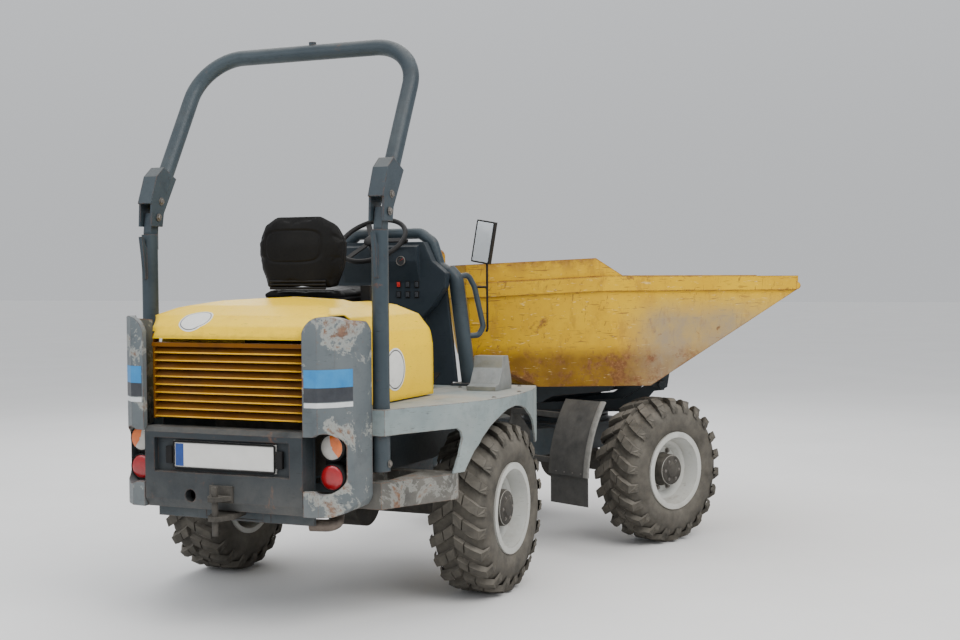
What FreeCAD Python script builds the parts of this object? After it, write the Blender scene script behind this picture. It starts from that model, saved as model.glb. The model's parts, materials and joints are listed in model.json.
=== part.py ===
import FreeCAD, Part
import os, math
import Sketcher
from FreeCAD import Vector as V, Placement, Rotation

# Site dumper with an articulated chassis and a swivelling skip.
# Millimetres. +X is the way the rear unit faces, +Y its left, +Z up.
# The front unit is stored turned to the right about the articulation pin, and
# the skip is stored swivelled further to the right on its slewing ring.

doc = FreeCAD.newDocument("site_dumper")
sheet = doc.addObject("Spreadsheet::Sheet", "dims")

# alias, value, what it is
SIZES = (
    ("org_x", 2006.0, "origin of the frame, ahead of the number plate"),
    ("org_y", -501.7, "origin of the frame, to the left of the centre plane"),
    ("rear_axle_x", 1145, "rear axle ahead of the number plate"),
    ("pivot_x", 2000, "articulation pin ahead of the number plate"),
    ("front_axle_x", 1144, "front axle ahead of the articulation pin"),
    ("turn", 24.2, "stored turn of the front unit to the right, degrees"),
    ("swivel", 40, "stored swivel of the skip to the right, degrees"),
    ("half_track", 758, "centre plane to tyre centre"),
    ("tyre_rad", 419, "tyre radius over the lugs"),
    ("tyre_half", 148, "half the tyre width"),
    ("bead_rad", 200, "bead seat radius"),
    ("flange_rad", 225, "rim flange radius"),
    ("hub_rad", 90, "wheel hub radius"),
    ("spindle_rad", 30, "axle spindle radius"),
    ("axle_rad", 58, "axle housing radius"),
    ("rail_in", 150, "inside face of a chassis rail"),
    ("rail_out", 190, "outside face of a chassis rail"),
    ("rail_low", 480, "underside of the rails"),
    ("rail_top", 640, "top of the rails"),
    ("pin_rad", 25, "articulation pin radius"),
    ("deck_top", 978, "top of the side decks and floor"),
    ("deck_low", 862, "lower edge of the deck skirt"),
    ("deck_t", 8, "deck plate thickness"),
    ("bay_y", 440, "outside of the engine bay walls"),
    ("step_top", 655, "top of the lower steps"),
    ("step_low", 535, "underside of the lower steps"),
    ("post_x", 300, "ROPS post ahead of the number plate"),
    ("post_y", 620, "ROPS post from the centre plane"),
    ("post_rad", 38, "ROPS tube radius"),
    ("post_low", 700, "lower end of the ROPS posts"),
    ("fold_x", 318, "hoop hinge pin ahead of the number plate"),
    ("fold_z", 1853, "hoop hinge pin height"),
    ("hoop_top", 2651, "centre line of the hoop's top tube"),
    ("hoop_top_x", 746, "top tube ahead of the number plate"),
    ("bumper_half", 412, "half width of the bumper"),
    ("bumper_low", 535, "underside of the bumper"),
    ("bumper_top", 898, "top of the bumper"),
    ("corner_y", 600, "outside of the corner guards"),
    ("corner_top", 1395, "top of the corner guards"),
    ("lamp_rad", 60, "rear lamp radius"),
    ("lamp_y", 503, "rear lamps from the centre plane"),
    ("lamp_hi", 828, "upper lamps height"),
    ("lamp_lo", 698, "lower lamps height"),
    ("plate_z", 775, "number plate centre height"),
    ("plate_w", 520, "number plate width"),
    ("plate_t", 110, "number plate height"),
    ("hood_half", 535, "half width of the hood"),
    ("hood_t", 5, "hood wall"),
    ("hood_low", 986, "lower edge of the hood sides"),
    ("hood_rear_z", 1292, "lower edge of the hood above the grille"),
    ("hood_hinge_z", 1302, "hood hinge line height"),
    ("hood_hinge_x", 30, "hood hinge line ahead of the number plate"),
    ("seat_z", 1400, "top of the seat pedestal"),
    ("steer_x", 1385, "steering wheel centre ahead of the number plate"),
    ("steer_z", 1752, "steering wheel centre height"),
    ("steer_rad", 182, "steering wheel radius"),
    ("steer_tilt", 38, "steering wheel plane above level, degrees"),
    ("ram_x", 1440, "rear pin of the steering cylinder ahead of the number plate"),
    ("ram_y", 250, "steering cylinder pins from the centre plane"),
    ("ram_z", 560, "steering cylinder height"),
    ("ram_fx", 40, "front pin of the steering cylinder ahead of the articulation pin"),
    ("ram_fy", 235, "front pin of the steering cylinder from the front unit's centre plane"),
    ("lift_x", 300, "rear pin of the tip cylinder behind the swivel axis"),
    ("lift_z", 756, "rear pin of the tip cylinder height"),
    ("eye_x", 345, "front pin of the tip cylinder ahead of the swivel axis"),
    ("eye_z", 862, "front pin of the tip cylinder height"),
    ("guard_rad", 750, "front mudguard radius about the axle"),
    ("ring_rad", 265, "slewing ring radius"),
    ("ring_z", 690, "top of the fixed slewing ring"),
    ("tip_x", 560, "tip pin ahead of the swivel axis"),
    ("tip_z", 890, "tip pin height"),
    ("skip_floor", 915, "underside of the skip floor"),
    ("skip_rim", 1550, "skip rim height"),
    ("skip_rear", 757, "skip rear wall behind the swivel axis"),
    ("skip_lip", 1320, "skip lip ahead of the swivel axis"),
    ("skip_half", 800, "half width of the skip"),
    ("skip_t", 6, "skip plate thickness"),
)
for i, (alias, value, what) in enumerate(SIZES):
    sheet.set("A%d" % (i + 2), what)
    sheet.set("B%d" % (i + 2), str(value))
    sheet.setAlias("B%d" % (i + 2), alias)
doc.recompute()


class Q:
    """A number together with the sheet expression that gives it."""

    def __init__(self, v, e):
        self.v = float(v)
        self.e = e

    def _two(self, o, op, rev=False):
        ov, oe = (o.v, o.e) if isinstance(o, Q) else (float(o), repr(float(o)))
        a, b, x, y = (ov, self.v, oe, self.e) if rev else (self.v, ov, self.e, oe)
        v = a + b if op == "+" else a - b if op == "-" else a * b if op == "*" else a / b
        return Q(v, "(%s %s %s)" % (x, op, y))

    def __add__(self, o): return self._two(o, "+")
    def __radd__(self, o): return self._two(o, "+", True)
    def __sub__(self, o): return self._two(o, "-")
    def __rsub__(self, o): return self._two(o, "-", True)
    def __mul__(self, o): return self._two(o, "*")
    def __rmul__(self, o): return self._two(o, "*", True)
    def __truediv__(self, o): return self._two(o, "/")
    def __neg__(self): return Q(-self.v, "(0 - %s)" % self.e)


class Dims:
    pass


D = Dims()
for alias, value, what in SIZES:
    setattr(D, alias, Q(sheet.get(alias), "dims." + alias))


def num(q):
    return q.v if isinstance(q, Q) else float(q)


def bind(obj, prop, q):
    """Give a property its value and, when it comes from the sheet, its expression."""
    if isinstance(q, Q):
        obj.setExpression(prop, q.e)
    elif "." not in prop:
        setattr(obj, prop, float(q))


def plane_of(body, role):
    return [f for f in body.Origin.OriginFeatures if f.Role == role][0]


ROLE = {"xy": "XY_Plane", "xz": "XZ_Plane", "yz": "YZ_Plane"}
COUNT = [0]


def uniq(name):
    COUNT[0] += 1
    return "%s_%d" % (name, COUNT[0])


def sketch(body, plane, loops, level=0.0):
    """loops: polygons as lists of (u, v) and circles as (u, v, r)."""
    sk = body.newObject("Sketcher::SketchObject", uniq("sk"))
    sk.AttachmentSupport = [(plane_of(body, ROLE[plane]), "")]
    sk.MapMode = "FlatFace"
    lv = -level if plane == "xz" else level
    if isinstance(level, Q):
        sk.setExpression("AttachmentOffset.Base.z", lv.e)
    sk.AttachmentOffset = Placement(V(0, 0, num(lv)), Rotation())
    named = []
    for loop in loops:
        if isinstance(loop, tuple):
            u, w, r = loop
            g = sk.addGeometry(Part.Circle(V(num(u), num(w), 0), V(0, 0, 1), num(r)), False)
            c = sk.addConstraint(Sketcher.Constraint("Radius", g, num(r)))
            named.append((c, r))
            ends = [(g, 3, u, w)]
        else:
            n = len(loop)
            ends = []
            first = None
            for k in range(n):
                a, b = loop[k], loop[(k + 1) % n]
                g = sk.addGeometry(Part.LineSegment(V(num(a[0]), num(a[1]), 0), V(num(b[0]), num(b[1]), 0)), False)
                if first is None:
                    first = g
                if k:
                    sk.addConstraint(Sketcher.Constraint("Coincident", g - 1, 2, g, 1))
                ends.append((g, 1, a[0], a[1]))
            sk.addConstraint(Sketcher.Constraint("Coincident", first + n - 1, 2, first, 1))
        for g, p, u, w in ends:
            c = sk.addConstraint(Sketcher.Constraint("DistanceX", -1, 1, g, p, num(u)))
            named.append((c, u))
            c = sk.addConstraint(Sketcher.Constraint("DistanceY", -1, 1, g, p, num(w)))
            named.append((c, w))
    for c, q in named:
        if isinstance(q, Q):
            nm = "k%d" % c
            sk.renameConstraint(c, nm)
            sk.setExpression("Constraints." + nm, q.e)
    return sk


def plate(name, plane, loops, a, b):
    """A body padded from level a to level b along the axis normal to the plane."""
    body = doc.addObject("PartDesign::Body", uniq(name))
    sk = sketch(body, plane, loops, b if plane == "xz" else a)
    pad = body.newObject("PartDesign::Pad", uniq("pad"))
    pad.Profile = sk
    bind(pad, "Length", b - a)
    if not isinstance(b - a, Q):
        pad.Length = float(b - a)
    sk.Visibility = False
    return body


def turned(name, plane, loop, axis="H_Axis"):
    """A body turned about the sketch's own axis: H is the plane's first axis."""
    body = doc.addObject("PartDesign::Body", uniq(name))
    sk = sketch(body, plane, [loop])
    rev = body.newObject("PartDesign::Revolution", uniq("rev"))
    rev.Profile = sk
    rev.ReferenceAxis = (sk, [axis])
    rev.Angle = 360.0
    return body


def box(x0, x1, y0, y1, z0, z1, name="box"):
    o = doc.addObject("Part::Box", uniq(name))
    o.Placement = Placement(V(num(x0), num(y0), num(z0)), Rotation())
    for prop, lo, hi in (("Length", x0, x1), ("Width", y0, y1), ("Height", z0, z1)):
        q = hi - lo
        bind(o, prop, q)
        if not isinstance(q, Q):
            setattr(o, prop, float(q))
    for ax, q in (("x", x0), ("y", y0), ("z", z0)):
        if isinstance(q, Q):
            o.setExpression("Placement.Base." + ax, q.e)
    return o


AXROT = {"z": Rotation(), "x": Rotation(V(0, 1, 0), 90), "y": Rotation(V(1, 0, 0), -90)}


def cyl(axis, r, a, b, u, w, name="cyl"):
    """A cylinder along an axis from a to b; u, w place it on the other two axes in order."""
    o = doc.addObject("Part::Cylinder", uniq(name))
    at = {"z": (u, w, a), "x": (a, u, w), "y": (u, a, w)}[axis]
    o.Placement = Placement(V(*[num(q) for q in at]), AXROT[axis])
    bind(o, "Radius", r)
    q = b - a
    bind(o, "Height", q)
    for ax, p in zip("xyz", at):
        if isinstance(p, Q):
            o.setExpression("Placement.Base." + ax, p.e)
    return o


def fuse(parts, name="fuse"):
    if len(parts) == 1:
        return parts[0]
    o = doc.addObject("Part::MultiFuse", uniq(name))
    o.Shapes = parts
    return o


def cut(base, tools, name="cut"):
    o = doc.addObject("Part::Cut", uniq(name))
    o.Base = base
    o.Tool = fuse(tools)
    return o


def common(a, b, name="common"):
    o = doc.addObject("Part::MultiCommon", uniq(name))
    o.Shapes = [a, b]
    return o


def group(parts, name="group"):
    o = doc.addObject("Part::Compound", uniq(name))
    o.Links = parts
    return o


def raw(shape, name="raw"):
    o = doc.addObject("Part::Feature", uniq(name))
    o.Shape = shape if shape.Placement.isIdentity() else Part.makeCompound([shape])
    return o


def tube_shape(points, r, bend, inner=0.0):
    """A round tube along straight runs joined by tangent arcs."""
    pts = [V(*p) for p in points]
    edges = []
    last = pts[0]
    for i in range(1, len(pts) - 1):
        p, a, b = pts[i], pts[i - 1], pts[i + 1]
        u = (a - p).normalize()
        w = (b - p).normalize()
        ang = math.pi - u.getAngle(w)
        if ang < 1e-3:
            continue
        rad = min(bend, 0.45 * min((a - p).Length, (b - p).Length) / math.tan(ang / 2))
        t = rad * math.tan(ang / 2)
        s, e = p + u * t, p + w * t
        mid_dir = (u + w).normalize()
        m = p + mid_dir * (math.sqrt(rad * rad + t * t) - rad)
        if (s - last).Length > 1e-6:
            edges.append(Part.LineSegment(last, s).toShape())
        edges.append(Part.Arc(s, m, e).toShape())
        last = e
    edges.append(Part.LineSegment(last, pts[-1]).toShape())
    wire = Part.Wire(edges)
    d = (pts[1] - pts[0]).normalize()
    outer = Part.Wire([Part.Circle(pts[0], d, r).toShape()])
    sh = wire.makePipeShell([outer], True, False)
    if inner:
        hole = wire.makePipeShell([Part.Wire([Part.Circle(pts[0], d, inner).toShape()])], True, False)
        sh = sh.cut(hole)
    return sh


def beyond(shape, point, normal):
    """Cut away what lies beyond a plane."""
    big = 6000.0
    b = Part.makeBox(big, big, big, V(-big / 2, -big / 2, 0))
    b.Placement = Placement(V(*point), Rotation(V(0, 0, 1), V(*normal)))
    return shape.cut(b)


def plane3(a, b, c, inside):
    """Point and outward normal of the plane through three points."""
    a, b, c, q = V(*a), V(*b), V(*c), V(*inside)
    n = (b - a).cross(c - a).normalize()
    if (q - a).dot(n) > 0:
        n = n * -1
    return (a.x, a.y, a.z), (n.x, n.y, n.z)


def moved(plane, d):
    (px, py, pz), (nx, ny, nz) = plane
    return (px + nx * d, py + ny * d, pz + nz * d), (nx, ny, nz)


NODES = []


def node(obj, label, where="rear", local=None):
    """Name a piece and put it in its unit's frame."""
    if obj.TypeId in ("Part::Box", "Part::Cylinder"):
        obj = group([obj])
    obj.Label = label
    if local is None:
        local = (0.0, 0.0, 0.0)
    lx, ly, lz = local
    ox, oy = D.org_x, D.org_y
    tx = "cos(dims.turn * 1 deg)"
    ty = "sin(dims.turn * 1 deg)"
    if where == "rear":
        ex = "%s - %s" % (ex_of(lx), ox.e)
        ey = "%s - %s" % (ex_of(ly), oy.e)
        ea = None
        ang = 0.0
    elif where == "front":
        ex = "%s - %s + (%s) * %s + (%s) * %s" % (D.pivot_x.e, ox.e, ex_of(lx), tx, ex_of(ly), ty)
        ey = "0 - %s - (%s) * %s + (%s) * %s" % (oy.e, ex_of(lx), ty, ex_of(ly), tx)
        ea = "0 - dims.turn"
        ang = -D.turn.v
    else:
        ex = "%s - %s + %s * %s" % (D.pivot_x.e, ox.e, D.front_axle_x.e, tx)
        ey = "0 - %s - %s * %s" % (oy.e, D.front_axle_x.e, ty)
        ea = "0 - dims.turn - dims.swivel"
        ang = -D.turn.v - D.swivel.v
    obj.Placement = Placement(V(0, 0, num(lz)), Rotation(V(0, 0, 1), ang if ang else 0.0))
    obj.setExpression("Placement.Base.x", ex)
    obj.setExpression("Placement.Base.y", ey)
    if isinstance(lz, Q):
        obj.setExpression("Placement.Base.z", lz.e)
    if ea:
        obj.setExpression("Placement.Rotation.Angle", ea)
    NODES.append(obj)
    return obj


def ex_of(q):
    return q.e if isinstance(q, Q) else repr(float(q))


# ---------------------------------------------------------------- rear unit
# chassis: two rails, belly plate, cross plates, bay walls and the fork of the
# articulation joint with its pin
parts = [
    box(60, 1700, -D.rail_out, -D.rail_in, D.rail_low, D.rail_top),
    box(60, 1700, D.rail_in, D.rail_out, D.rail_low, D.rail_top),
    box(60, 990, -D.rail_in, D.rail_in, D.rail_low, D.rail_low + 10),
    box(62, 80, -410, 410, D.rail_low, 890),
    box(1676, 1700, -D.rail_out, D.rail_out, 440, 760),
]
for s in (-1, 1):
    y0, y1 = (D.bay_y - 6, D.bay_y) if s > 0 else (-D.bay_y, -D.bay_y + 6)
    parts.append(box(140, 1640, y0, y1, 640, 966))
    for xa, xb in ((246, 330), (560, 600), (1596, 1640)):
        ya, yb = (D.rail_out, D.bay_y) if s > 0 else (-D.bay_y, -D.rail_out)
        parts.append(box(xa, xb, ya, yb, 600, 640.0))
    ya, yb = (D.bay_y, D.post_y - D.post_rad) if s > 0 else (-D.post_y + D.post_rad, -D.bay_y)
    parts.append(box(262, 338, ya, yb, 720, 800))
for za, zb in ((440, 465), (700, 725)):
    parts.append(plate("fork", "xy", [[(1700, -110), (1960, -80), (D.pivot_x + 60, -50), (D.pivot_x + 60, 50), (1960, 80), (1700, 110)]], Q(za, repr(float(za))), Q(zb, repr(float(zb)))))
parts.append(cyl("z", D.pin_rad, Q(428, "428.0"), Q(737, "737.0"), D.pivot_x, 0.0))
for dz in (-50.0, 38.0):
    parts.append(box(D.ram_x - 34.0, D.ram_x + 34.0, D.rail_in, D.ram_y + 26.0, D.ram_z + dz, D.ram_z + dz + 12.0))
rear = fuse(parts)
node(cut(rear, [cyl("z", Q(14.3, "14.3"), D.ram_z - 60.0, D.ram_z + 60.0, D.ram_x, D.ram_y)]), "rear_frame")


def axle_parts(ax, pad_lo):
    """Housing, differential, spring pads and the wheel spindles of one axle."""
    half = D.half_track - 61.0
    return [
        cyl("y", D.axle_rad, -half, half, ax, D.tyre_rad),
        cyl("y", Q(140, "140.0"), Q(-90, "-90.0"), Q(90, "90.0"), ax, D.tyre_rad),
        box(ax - 84.0, ax + 84.0, -D.rail_out - 10.0, -D.rail_in + 10.0, 400, D.rail_low),
        box(ax - 84.0, ax + 84.0, D.rail_in - 10.0, D.rail_out + 10.0, 400, D.rail_low),
        cyl("y", D.spindle_rad, half, D.half_track + 2.0, ax, D.tyre_rad),
        cyl("y", D.spindle_rad, -D.half_track - 2.0, -half, ax, D.tyre_rad),
        cyl("y", Q(105, "105.0"), half - 60.0, half, ax, D.tyre_rad),
        cyl("y", Q(105, "105.0"), -half, -half + 60.0, ax, D.tyre_rad),
    ]


node(fuse(axle_parts(D.rear_axle_x, 0)), "rear_axle")

# engine as a plain mass
node(box(260, 900, -230, 230, 645, 970), "engine_block")

# rear grille: frame and slats
SLATS = 9
parts = [
    box(22, 60, -402, -390, 930, 1275),
    box(22, 60, 390, 402, 930, 1275),
    box(14, 60, -402, 402, 1256, 1275),
]
for ya in (-402.0, 396.5):
    lug = plate("lug", "xz", [[(24, 1270), (60, 1270), (60, 1290), (44, 1312), (22, 1314), (18, 1300), (24, 1288)]], Q(ya, repr(ya)), Q(ya + 5.5, repr(ya + 5.5)))
    parts.append(cut(lug, [cyl("y", Q(6.3, "6.3"), Q(ya - 5, repr(ya - 5)), Q(ya + 12, repr(ya + 12)), D.hood_hinge_x, D.hood_hinge_z)]))
for k in range(SLATS):
    z = 938.0 + 36.0 * k
    parts.append(plate("slat", "xz", [[(18, z), (24, z), (58, z + 22), (58, z + 28), (52, z + 28), (18, z + 6)]], Q(-390, "-390.0"), Q(390, "390.0")))
parts.append(box(60, 64, -402, 402, 934, 1262))
node(fuse(parts), "rear_grille")

# bumper: a deep casting with the plate recess, a round hole and a bevelled foot
bump = plate("bumper", "xz", [[(-34, D.bumper_low + 40), (-10, D.bumper_low), (60, D.bumper_low), (60, D.bumper_top), (-12, D.bumper_top), (-34, D.bumper_top - 22)]], -D.bumper_half, D.bumper_half)
bump = cut(bump, [
    box(-40, -6, -345, 360, 698, 850),
    cyl("x", Q(28, "28.0"), Q(-60, "-60.0"), Q(70, "70.0"), 168, 596),
    box(10, 61, -380, 380, D.bumper_low + 30, D.bumper_top - 30),
])
node(bump, "rear_bumper")


# corner guards: a thick wall bent round each rear corner, its top rounded,
# with a pocket for the lamps
def corner(s):
    o, i, t = D.corner_y.v, D.bumper_half.v + 3.0, 26.0
    # plan outline, outer side then inner side: x, y
    outer = ((-36.0, i), (-30.0, i + 70), (20.0, o - 55), (110.0, o - 12), (250.0, o))
    inner = ((250.0, o - t), (118.0, o - t - 12), (46.0, o - t - 60), (-2.0, i + 60), (-8.0, i))
    w = Part.makePolygon([V(x, s * y, 0) for x, y in outer + inner] + [V(outer[0][0], s * outer[0][1], 0)])
    wall = Part.Face(w).extrude(V(0, 0, D.corner_top.v - D.bumper_low.v))
    wall.translate(V(0, 0, D.bumper_low.v))
    # seen from behind the top is a half round between the inner and outer sides
    yc, rad = (i + o) / 2, (o - i) / 2 + 1.0
    zt = D.corner_top.v
    a = V(-60, s * i, D.bumper_low.v - 1)
    zb = D.bumper_low.v
    prof = [Part.LineSegment(V(-60, s * (i - 1), zb - 2), V(-60, s * (i - 1), zt - rad * 1.25)).toShape(),
            Part.Arc(V(-60, s * (i - 1), zt - rad * 1.25), V(-60, s * (yc - 8), zt), V(-60, s * (o + 1), zt - rad * 1.25)).toShape(),
            Part.LineSegment(V(-60, s * (o + 1), zt - rad * 1.25), V(-60, s * (o + 1), zb + 95)).toShape(),
            Part.Arc(V(-60, s * (o + 1), zb + 95), V(-60, s * (o - 22), zb + 26), V(-60, s * (o - 85), zb - 2)).toShape(),
            Part.LineSegment(V(-60, s * (o - 85), zb - 2), V(-60, s * (i - 1), zb - 2)).toShape()]
    keep = Part.Face(Part.Wire(prof)).extrude(V(400, 0, 0))
    sh = wall.common(keep)
    # lamp pockets
    ly, lr = D.lamp_y.v, D.lamp_rad.v + 6
    for z in (D.lamp_hi.v, D.lamp_lo.v):
        sh = sh.cut(Part.makeCylinder(lr, 200, V(-60, s * ly, z), V(1, 0, 0)))
    sh = sh.cut(Part.makeBox(200, 2 * lr, D.lamp_hi.v - D.lamp_lo.v, V(-60, s * ly - lr, D.lamp_lo.v)))
    zl, zh = D.lamp_lo.v - lr + 14, D.lamp_hi.v + lr - 14
    sh = sh.cut(Part.makeBox(200, 110, zh - zl, V(-60, min(s * 400, s * 510), zl)))
    # lower toe that closes the corner under the bumper's end
    return sh


node(group([raw(corner(1)), raw(corner(-1))]), "corner_guards")

# rear lamps: four round lamps on their back plates
parts = []
for s in (-1, 1):
    for z in (D.lamp_hi, D.lamp_lo):
        parts.append(cyl("x", D.lamp_rad, Q(66, "66.0"), Q(122, "122.0"), D.lamp_y * s, z))
    parts.append(box(120, 126, D.lamp_y * s - 56.0, D.lamp_y * s + 56.0, D.lamp_lo - 60.0, D.lamp_hi + 60.0))
    parts.append(box(126, 139.7, 434 if s > 0 else -452, 452 if s > 0 else -434, 720, 800))
node(fuse(parts), "rear_lamps")

# number plate on its holder, in the bumper's recess
node(fuse([
    box(-14, -6, -D.plate_w / 2 - 8.0, D.plate_w / 2 + 8.0, D.plate_z - D.plate_t / 2 - 8.0, D.plate_z + D.plate_t / 2 + 8.0),
    box(-16, -14, -D.plate_w / 2, D.plate_w / 2, D.plate_z - D.plate_t / 2, D.plate_z + D.plate_t / 2),
]), "number_plate")

# tow hitch: a clevis below the plate with its pin
parts = []
for z in (502.0, 588.0):
    parts.append(plate("tab", "xy", [[(-34, -60), (-90, -38), (-118, -18), (-118, 18), (-90, 38), (-34, 60)]], Q(z, repr(z)), Q(z + 20, repr(z + 20))))
parts.append(box(-44, -34, -60, 60, 575, 650))
parts.append(plate("foot", "xz", [[(-34, 502), (60, 510), (60, 535), (-34, 522)]], Q(-60, "-60.0"), Q(60, "60.0")))
parts.append(cyl("z", Q(14, "14.0"), Q(436, "436.0"), Q(652, "652.0"), -90, 0))
node(fuse(parts), "tow_hitch")

# exhaust tail pipe under the right corner
node(raw(tube_shape([(420, -225, 612), (300, -400, 520), (140, -480, 474), (114, -360, 474)], 27, 90, 23.5)), "exhaust_pipe")


# hood: one cover with a rounded top, open at the front, round the seat pedestal
def hood_solid(inset):
    k = inset
    h = D.hood_half.v - k
    zr = D.hood_rear_z.v
    side = [(12 + k, zr - 400), (12 + k, zr + 6), (40 + k, 1345 - k), (120, 1392 - k), (250, 1436 - k), (420, 1464 - k), (640, 1470 - k), (860, 1430 - k), (950, 1380 - k), (1000 - k * 0.5, 1290), (1006 - k * 0.5, 1180), (1006 - k * 0.5, zr - 400)]
    w = Part.makePolygon([V(x, 0, z) for x, z in side] + [V(side[0][0], 0, side[0][1])])
    a = Part.Face(w).extrude(V(0, 1400, 0))
    a.translate(V(0, -700, 0))
    half = [(h, 800), (h, 1230), (h - 12, 1310), (h - 50, 1380 - k), (h - 130, 1426 - k), (260, 1456 - k), (0, 1470 - k)]
    ring = half + [(-y, z) for y, z in reversed(half[:-1])]
    w = Part.makePolygon([V(0, y, z) for y, z in ring] + [V(0, ring[0][0], ring[0][1])])
    b = Part.Face(w).extrude(V(1200, 0, 0))
    return a.common(b)


hood = hood_solid(0).cut(hood_solid(D.hood_t.v))
low = Part.makeBox(1300, 1400, 700, V(-50, -700, D.hood_low.v - 700))
hood = hood.cut(low)
# the rear face stays open below the hood's rear edge, and at the corner guards
hood = hood.cut(Part.makeBox(100, 1400, 500, V(-50, -700, D.hood_rear_z.v - 500)))
for s in (-1, 1):
    y0 = 404.0 if s > 0 else -700.0
    hood = hood.cut(Part.makeBox(330, 296, 1230 - 900, V(-50, y0, 900)))
    # arch over the guard: its top line seen from behind, 9 mm larger
    gi, go, gz = D.bumper_half.v - 7.0, D.corner_y.v + 10.0, D.corner_top.v
    zs = gz - 117.0
    arch = Part.Wire([Part.LineSegment(V(-60, s * gi, 1229), V(-60, s * gi, zs)).toShape(),
                      Part.Arc(V(-60, s * gi, zs), V(-60, s * (D.bumper_half.v + 87.0), gz + 9.0), V(-60, s * go, zs)).toShape(),
                      Part.LineSegment(V(-60, s * go, zs), V(-60, s * go, 1229)).toShape(),
                      Part.LineSegment(V(-60, s * go, 1229), V(-60, s * gi, 1229)).toShape()])
    hood = hood.cut(Part.Face(arch).extrude(V(322, 0, 0)))
    hood = hood.cut(Part.makeBox(122, 16, 95, V(-50, s * 402 - 8, 1229)))
# room for the pedestal and the seat, open to the front
hood = hood.cut(Part.makeBox(500, 620, 900, V(606, -310, 900)))
hood = hood.cut(Part.makeBox(60, 1400, 700, V(985, -700, 900)).cut(Part.makeBox(200, 90, 700, V(900, 445, 900))).cut(Part.makeBox(200, 90, 700, V(900, -535, 900))))
hinge = []
for s in (-1, 1):
    arm = [(15, 1300), (24, 1291), (38, 1293), (42, 1306), (46, 1344), (32, 1330)]
    w = Part.makePolygon([V(x, s * 384.5 - 4.5, z) for x, z in arm] + [V(arm[0][0], s * 384.5 - 4.5, arm[0][1])])
    hinge.append(Part.Face(w).extrude(V(0, 9, 0)))
    hinge.append(Part.makeCylinder(6, 24, V(D.hood_hinge_x.v, min(s * 380, s * 404), D.hood_hinge_z.v), V(0, 1, 0)))
hood = hood.fuse(hinge)
node(raw(hood), "engine_hood")

# seat pedestal over the engine, with a skirt to the front
ped = cut(box(614, 1004, -300, 300, 980, D.seat_z), [box(620, 998, -294, 294, 979, D.seat_z - 6)])
node(fuse([ped, box(998, 1004, -434, 434, 980, 1290)]), "seat_pedestal")

# seat cushion and back rest, plain soft solids
node(plate("cushion", "xz", [[(690, 1404), (1150, 1404), (1190, 1440), (1186, 1492), (1130, 1512), (760, 1496), (690, 1490)]], Q(-213, "-213.0"), Q(257, "257.0")), "seat_cushion")
node(plate("back", "yz", [[(-193, 1500), (237, 1500), (267, 1600), (272, 1740), (227, 1840), (152, 1876), (-108, 1876), (-183, 1840), (-228, 1740), (-223, 1600)]], Q(640, "640.0"), Q(750, "750.0")), "seat_back")


# side decks: a plate with a skirt that follows its outer edge, cut out over
# the rear wheel; plan points x, |y|
DECK = ((250, 662), (345, 690), (607, 806), (790, 876), (960, 908), (1180, 914), (1450, 883), (1640, 828), (1700, 800))


def deck(s):
    inner_y = D.bay_y.v + 1
    plan = [(x, s * y) for x, y in DECK] + [(1700, s * inner_y), (250, s * inner_y)]
    w = Part.makePolygon([V(x, y, 0) for x, y in plan] + [V(plan[0][0], plan[0][1], 0)])
    top = Part.Face(w).extrude(V(0, 0, D.deck_t.v))
    top.translate(V(0, 0, D.deck_top.v - D.deck_t.v))
    t = 10.0
    ring_in = [(x, s * (y - t * 1.1)) for x, y in DECK]
    ring = [(x, s * y) for x, y in DECK] + list(reversed(ring_in))
    w = Part.makePolygon([V(x, y, 0) for x, y in ring] + [V(ring[0][0], ring[0][1], 0)])
    skirt = Part.Face(w).extrude(V(0, 0, D.deck_top.v - 620.0))
    skirt.translate(V(0, 0, 620.0))
    # what stays of the skirt, seen from the side: x, z
    keep = ((240, D.deck_top.v), (1710, D.deck_top.v), (1710, 880), (1660, 800), (1625, 694), (1568, 694),
            (1532, 744), (1470, 806), (1397, 856), (1318, 894), (1233, 916), (1145, 924), (1057, 916), (972, 894), (892, 856), (820, 806), (758, 744), (708, 671), (700, D.step_top.v),
            (632, D.step_top.v), (668, 740), (688, 815), (680, 845), (655, D.deck_low.v), (240, D.deck_low.v))
    w = Part.makePolygon([V(x, -1500, z) for x, z in keep] + [V(keep[0][0], -1500, keep[0][1])])
    prism = Part.Face(w).extrude(V(0, 3000, 0))
    skirt = skirt.common(prism)
    # rear edge board and front edge board
    back = Part.makeBox(8, 212, D.deck_top.v - D.deck_low.v, V(250, min(s * 660, s * 448), D.deck_low.v))
    sh = top.fuse([skirt, back])
    # the post passes through at the rear
    sh = sh.cut(Part.makeCylinder(D.post_rad.v + 0.3, 600, V(D.post_x.v, s * D.post_y.v, 650)))
    return sh.removeSplitter()


def step(s):
    # plan points x, |y|
    pts = ((252, 446), (252, 640), (330, 672), (600, 806), (655, 826), (692, 812), (704, 770), (704, 446))
    w = Part.makePolygon([V(x, s * y, D.step_low.v) for x, y in pts] + [V(pts[0][0], s * pts[0][1], D.step_low.v)])
    sh = Part.Face(w).extrude(V(0, 0, D.step_top.v - D.step_low.v - 0.0))
    hole = Part.makeBox(300, 160, 400, V(340, min(s * 470, s * 630), D.step_low.v + 8))
    return sh.cut(hole)


for s, side in ((1, "left"), (-1, "right")):
    node(raw(deck(s)), "side_deck_" + side)
node(group([raw(step(1)), raw(step(-1))]), "lower_steps")

# floor between the decks ahead of the seat
node(fuse([box(1008, 1700, -D.bay_y, D.bay_y, D.deck_top - 12.0, D.deck_top), box(1640, 1700, -D.bay_y, D.bay_y, 900, D.deck_top)]), "floor_plate")

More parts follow.
